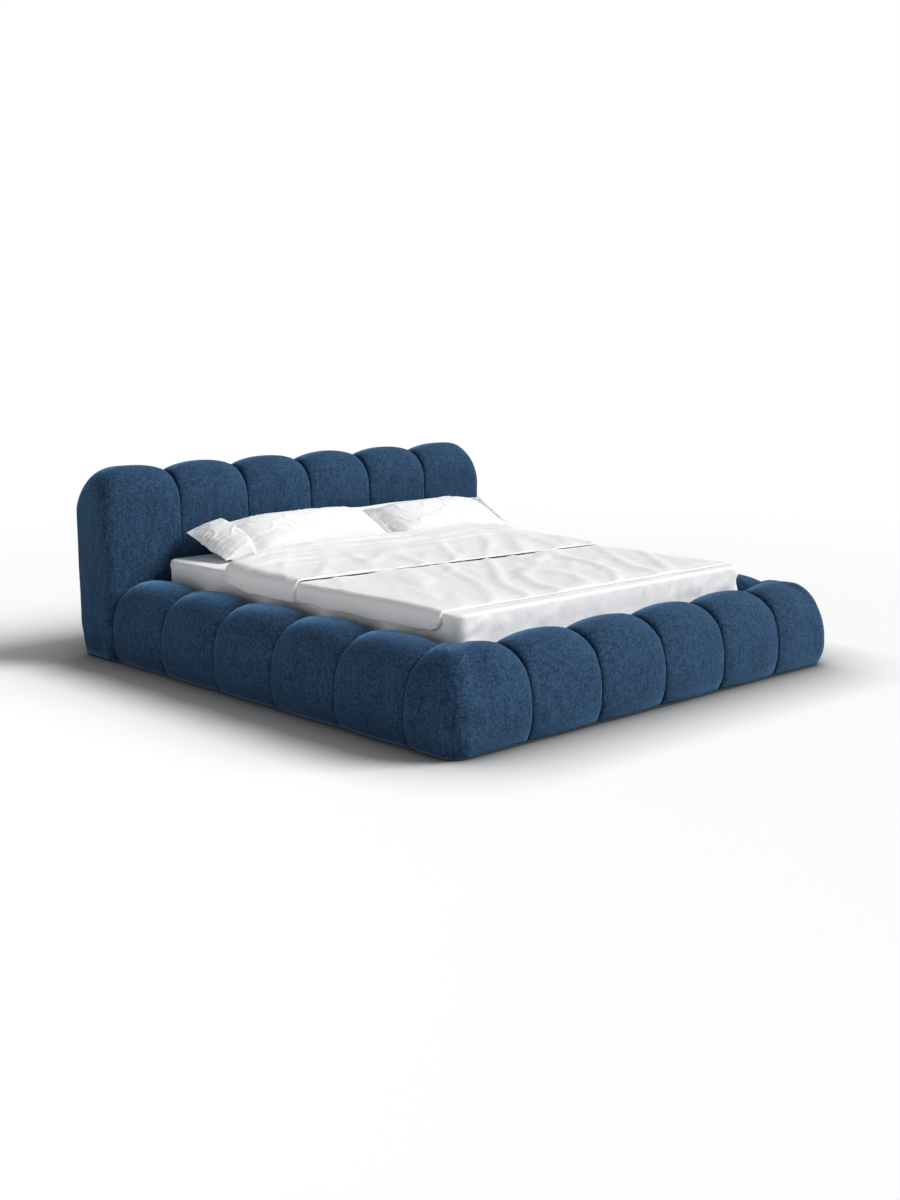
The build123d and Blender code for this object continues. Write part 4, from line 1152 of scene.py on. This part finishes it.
# Floor. A plain pale floor in a white studio; it carries the soft shadow of the bed, with painted
# shade darkening its colour close to the bed and a faint painted glow away from it, and runs out into
# white a few metres off.
def floor_finish():
    made, tree, shader = material("pale floor")
    spot = node(tree, "ShaderNodeTexCoord").outputs["Object"]
    faint = node(tree, "ShaderNodeTexNoise", {"Vector": spot, "Scale": 3.0, "Detail": 2.0})
    pale = mixed(tree, faint.outputs["Fac"], (0.93, 0.93, 0.93, 1), (0.94, 0.94, 0.94, 1))
    # Painted shade: ambient occlusion runs the floor colour down to near black close to the bed, on top
    # of the lamp's own shadow.
    painted_shade_occlusion = node(tree, "ShaderNodeAmbientOcclusion", {"Distance": 0.45}, samples=12)
    clear_of_painted_shade = sums(tree, "POWER", painted_shade_occlusion.outputs["AO"], 2.4)
    tree.links.new(mixed(tree, clear_of_painted_shade, (0.03, 0.03, 0.03, 1), pale), shader.inputs["Base Color"])
    shader.inputs["Roughness"].default_value = 0.9
    shader.inputs["Specular IOR Level"].default_value = 0.1
    path = node(tree, "ShaderNodeLightPath").outputs
    seen = sums(tree, "MAXIMUM", path["Is Camera Ray"], path["Is Glossy Ray"])
    # Painted glow: for camera and glossy rays the floor glows a little, less where the painted shade
    # lies close to the bed.
    glow_share = sums(tree, "MULTIPLY", sums(tree, "MULTIPLY", seen, clear_of_painted_shade), 0.1)
    glow = node(tree, "ShaderNodeEmission", {"Color": (1, 1, 1, 1), "Strength": glow_share})
    lit = node(tree, "ShaderNodeAddShader", {0: shader.outputs[0], 1: glow.outputs[0]})
    away = node(tree, "ShaderNodeVectorMath", {0: spot}, operation="LENGTH").outputs["Value"]
    far_links = {"Value": away, "From Min": 2.6, "From Max": 6.5}
    far = node(tree, "ShaderNodeMapRange", far_links, interpolation_type="SMOOTHSTEP")
    blank = node(tree, "ShaderNodeEmission", {"Color": (1, 1, 1, 1), "Strength": 1.0})
    share = sums(tree, "MULTIPLY", far.outputs[0], seen)
    joined = node(tree, "ShaderNodeMixShader", {0: share, 1: lit.outputs[0], 2: blank.outputs[0]})
    tree.links.new(joined.outputs[0], tree.nodes["Material Output"].inputs[0])
    return made


floor_reach = 30
floor_corners = [
    (-floor_reach, -floor_reach, 0), (floor_reach, -floor_reach, 0),
    (floor_reach, floor_reach, 0), (-floor_reach, floor_reach, 0),
]
floor_piece = new_piece("studio_floor", floor_corners, [(0, 1, 2, 3)], floor_finish(), False)


# Light. A far, even lamp to the right of the foot end draws the shadow on the floor, a broad
# soft lamp low on the left fills the shaded side, and the surround gives a little light all round.
surround = bpy.data.worlds.new("studio surround")
bpy.context.scene.world = surround
surround.use_nodes = True
sky = surround.node_tree
sky.nodes.clear()
path = node(sky, "ShaderNodeLightPath").outputs
seen = sums(sky, "MAXIMUM", path["Is Glossy Ray"], path["Is Transmission Ray"])
seen = sums(sky, "MAXIMUM", path["Is Camera Ray"], seen)
white = node(sky, "ShaderNodeBackground", {"Color": (1, 1, 1, 1), "Strength": 1.0})
dim = node(sky, "ShaderNodeBackground", {"Color": (0.95, 0.97, 1.0, 1), "Strength": 0.14})
chosen = node(sky, "ShaderNodeMixShader", {0: seen, 1: dim.outputs[0], 2: white.outputs[0]})
node(sky, "ShaderNodeOutputWorld", {0: chosen.outputs[0]})


def soft_lamp(name, spot, aim, size, power):
    lamp = bpy.data.lights.new(name, "AREA")
    lamp.shape = "DISK"
    lamp.size = size
    lamp.energy = power
    made = bpy.data.objects.new(name, lamp)
    made.location = spot
    made.rotation_euler = (Vector(aim) - Vector(spot)).to_track_quat("-Z", "Y").to_euler()
    bpy.context.scene.collection.objects.link(made)


def far_lamp(name, way, strength, spread):
    """A lamp so far off that its light is even; way points from the bed to the lamp."""
    lamp = bpy.data.lights.new(name, "SUN")
    lamp.energy = strength
    lamp.angle = math.radians(spread)
    made = bpy.data.objects.new(name, lamp)
    made.rotation_euler = Vector(way).to_track_quat("Z", "Y").to_euler()
    bpy.context.scene.collection.objects.link(made)


far_lamp("key_lamp", (0.66, -0.5, 0.58), 4.2, 32)
soft_lamp("left_fill", (-5.5, -0.6, 0.9), (-0.8, 0.0, 0.3), 2.4, 42)
bpy.context.scene.view_settings.view_transform = "Standard"
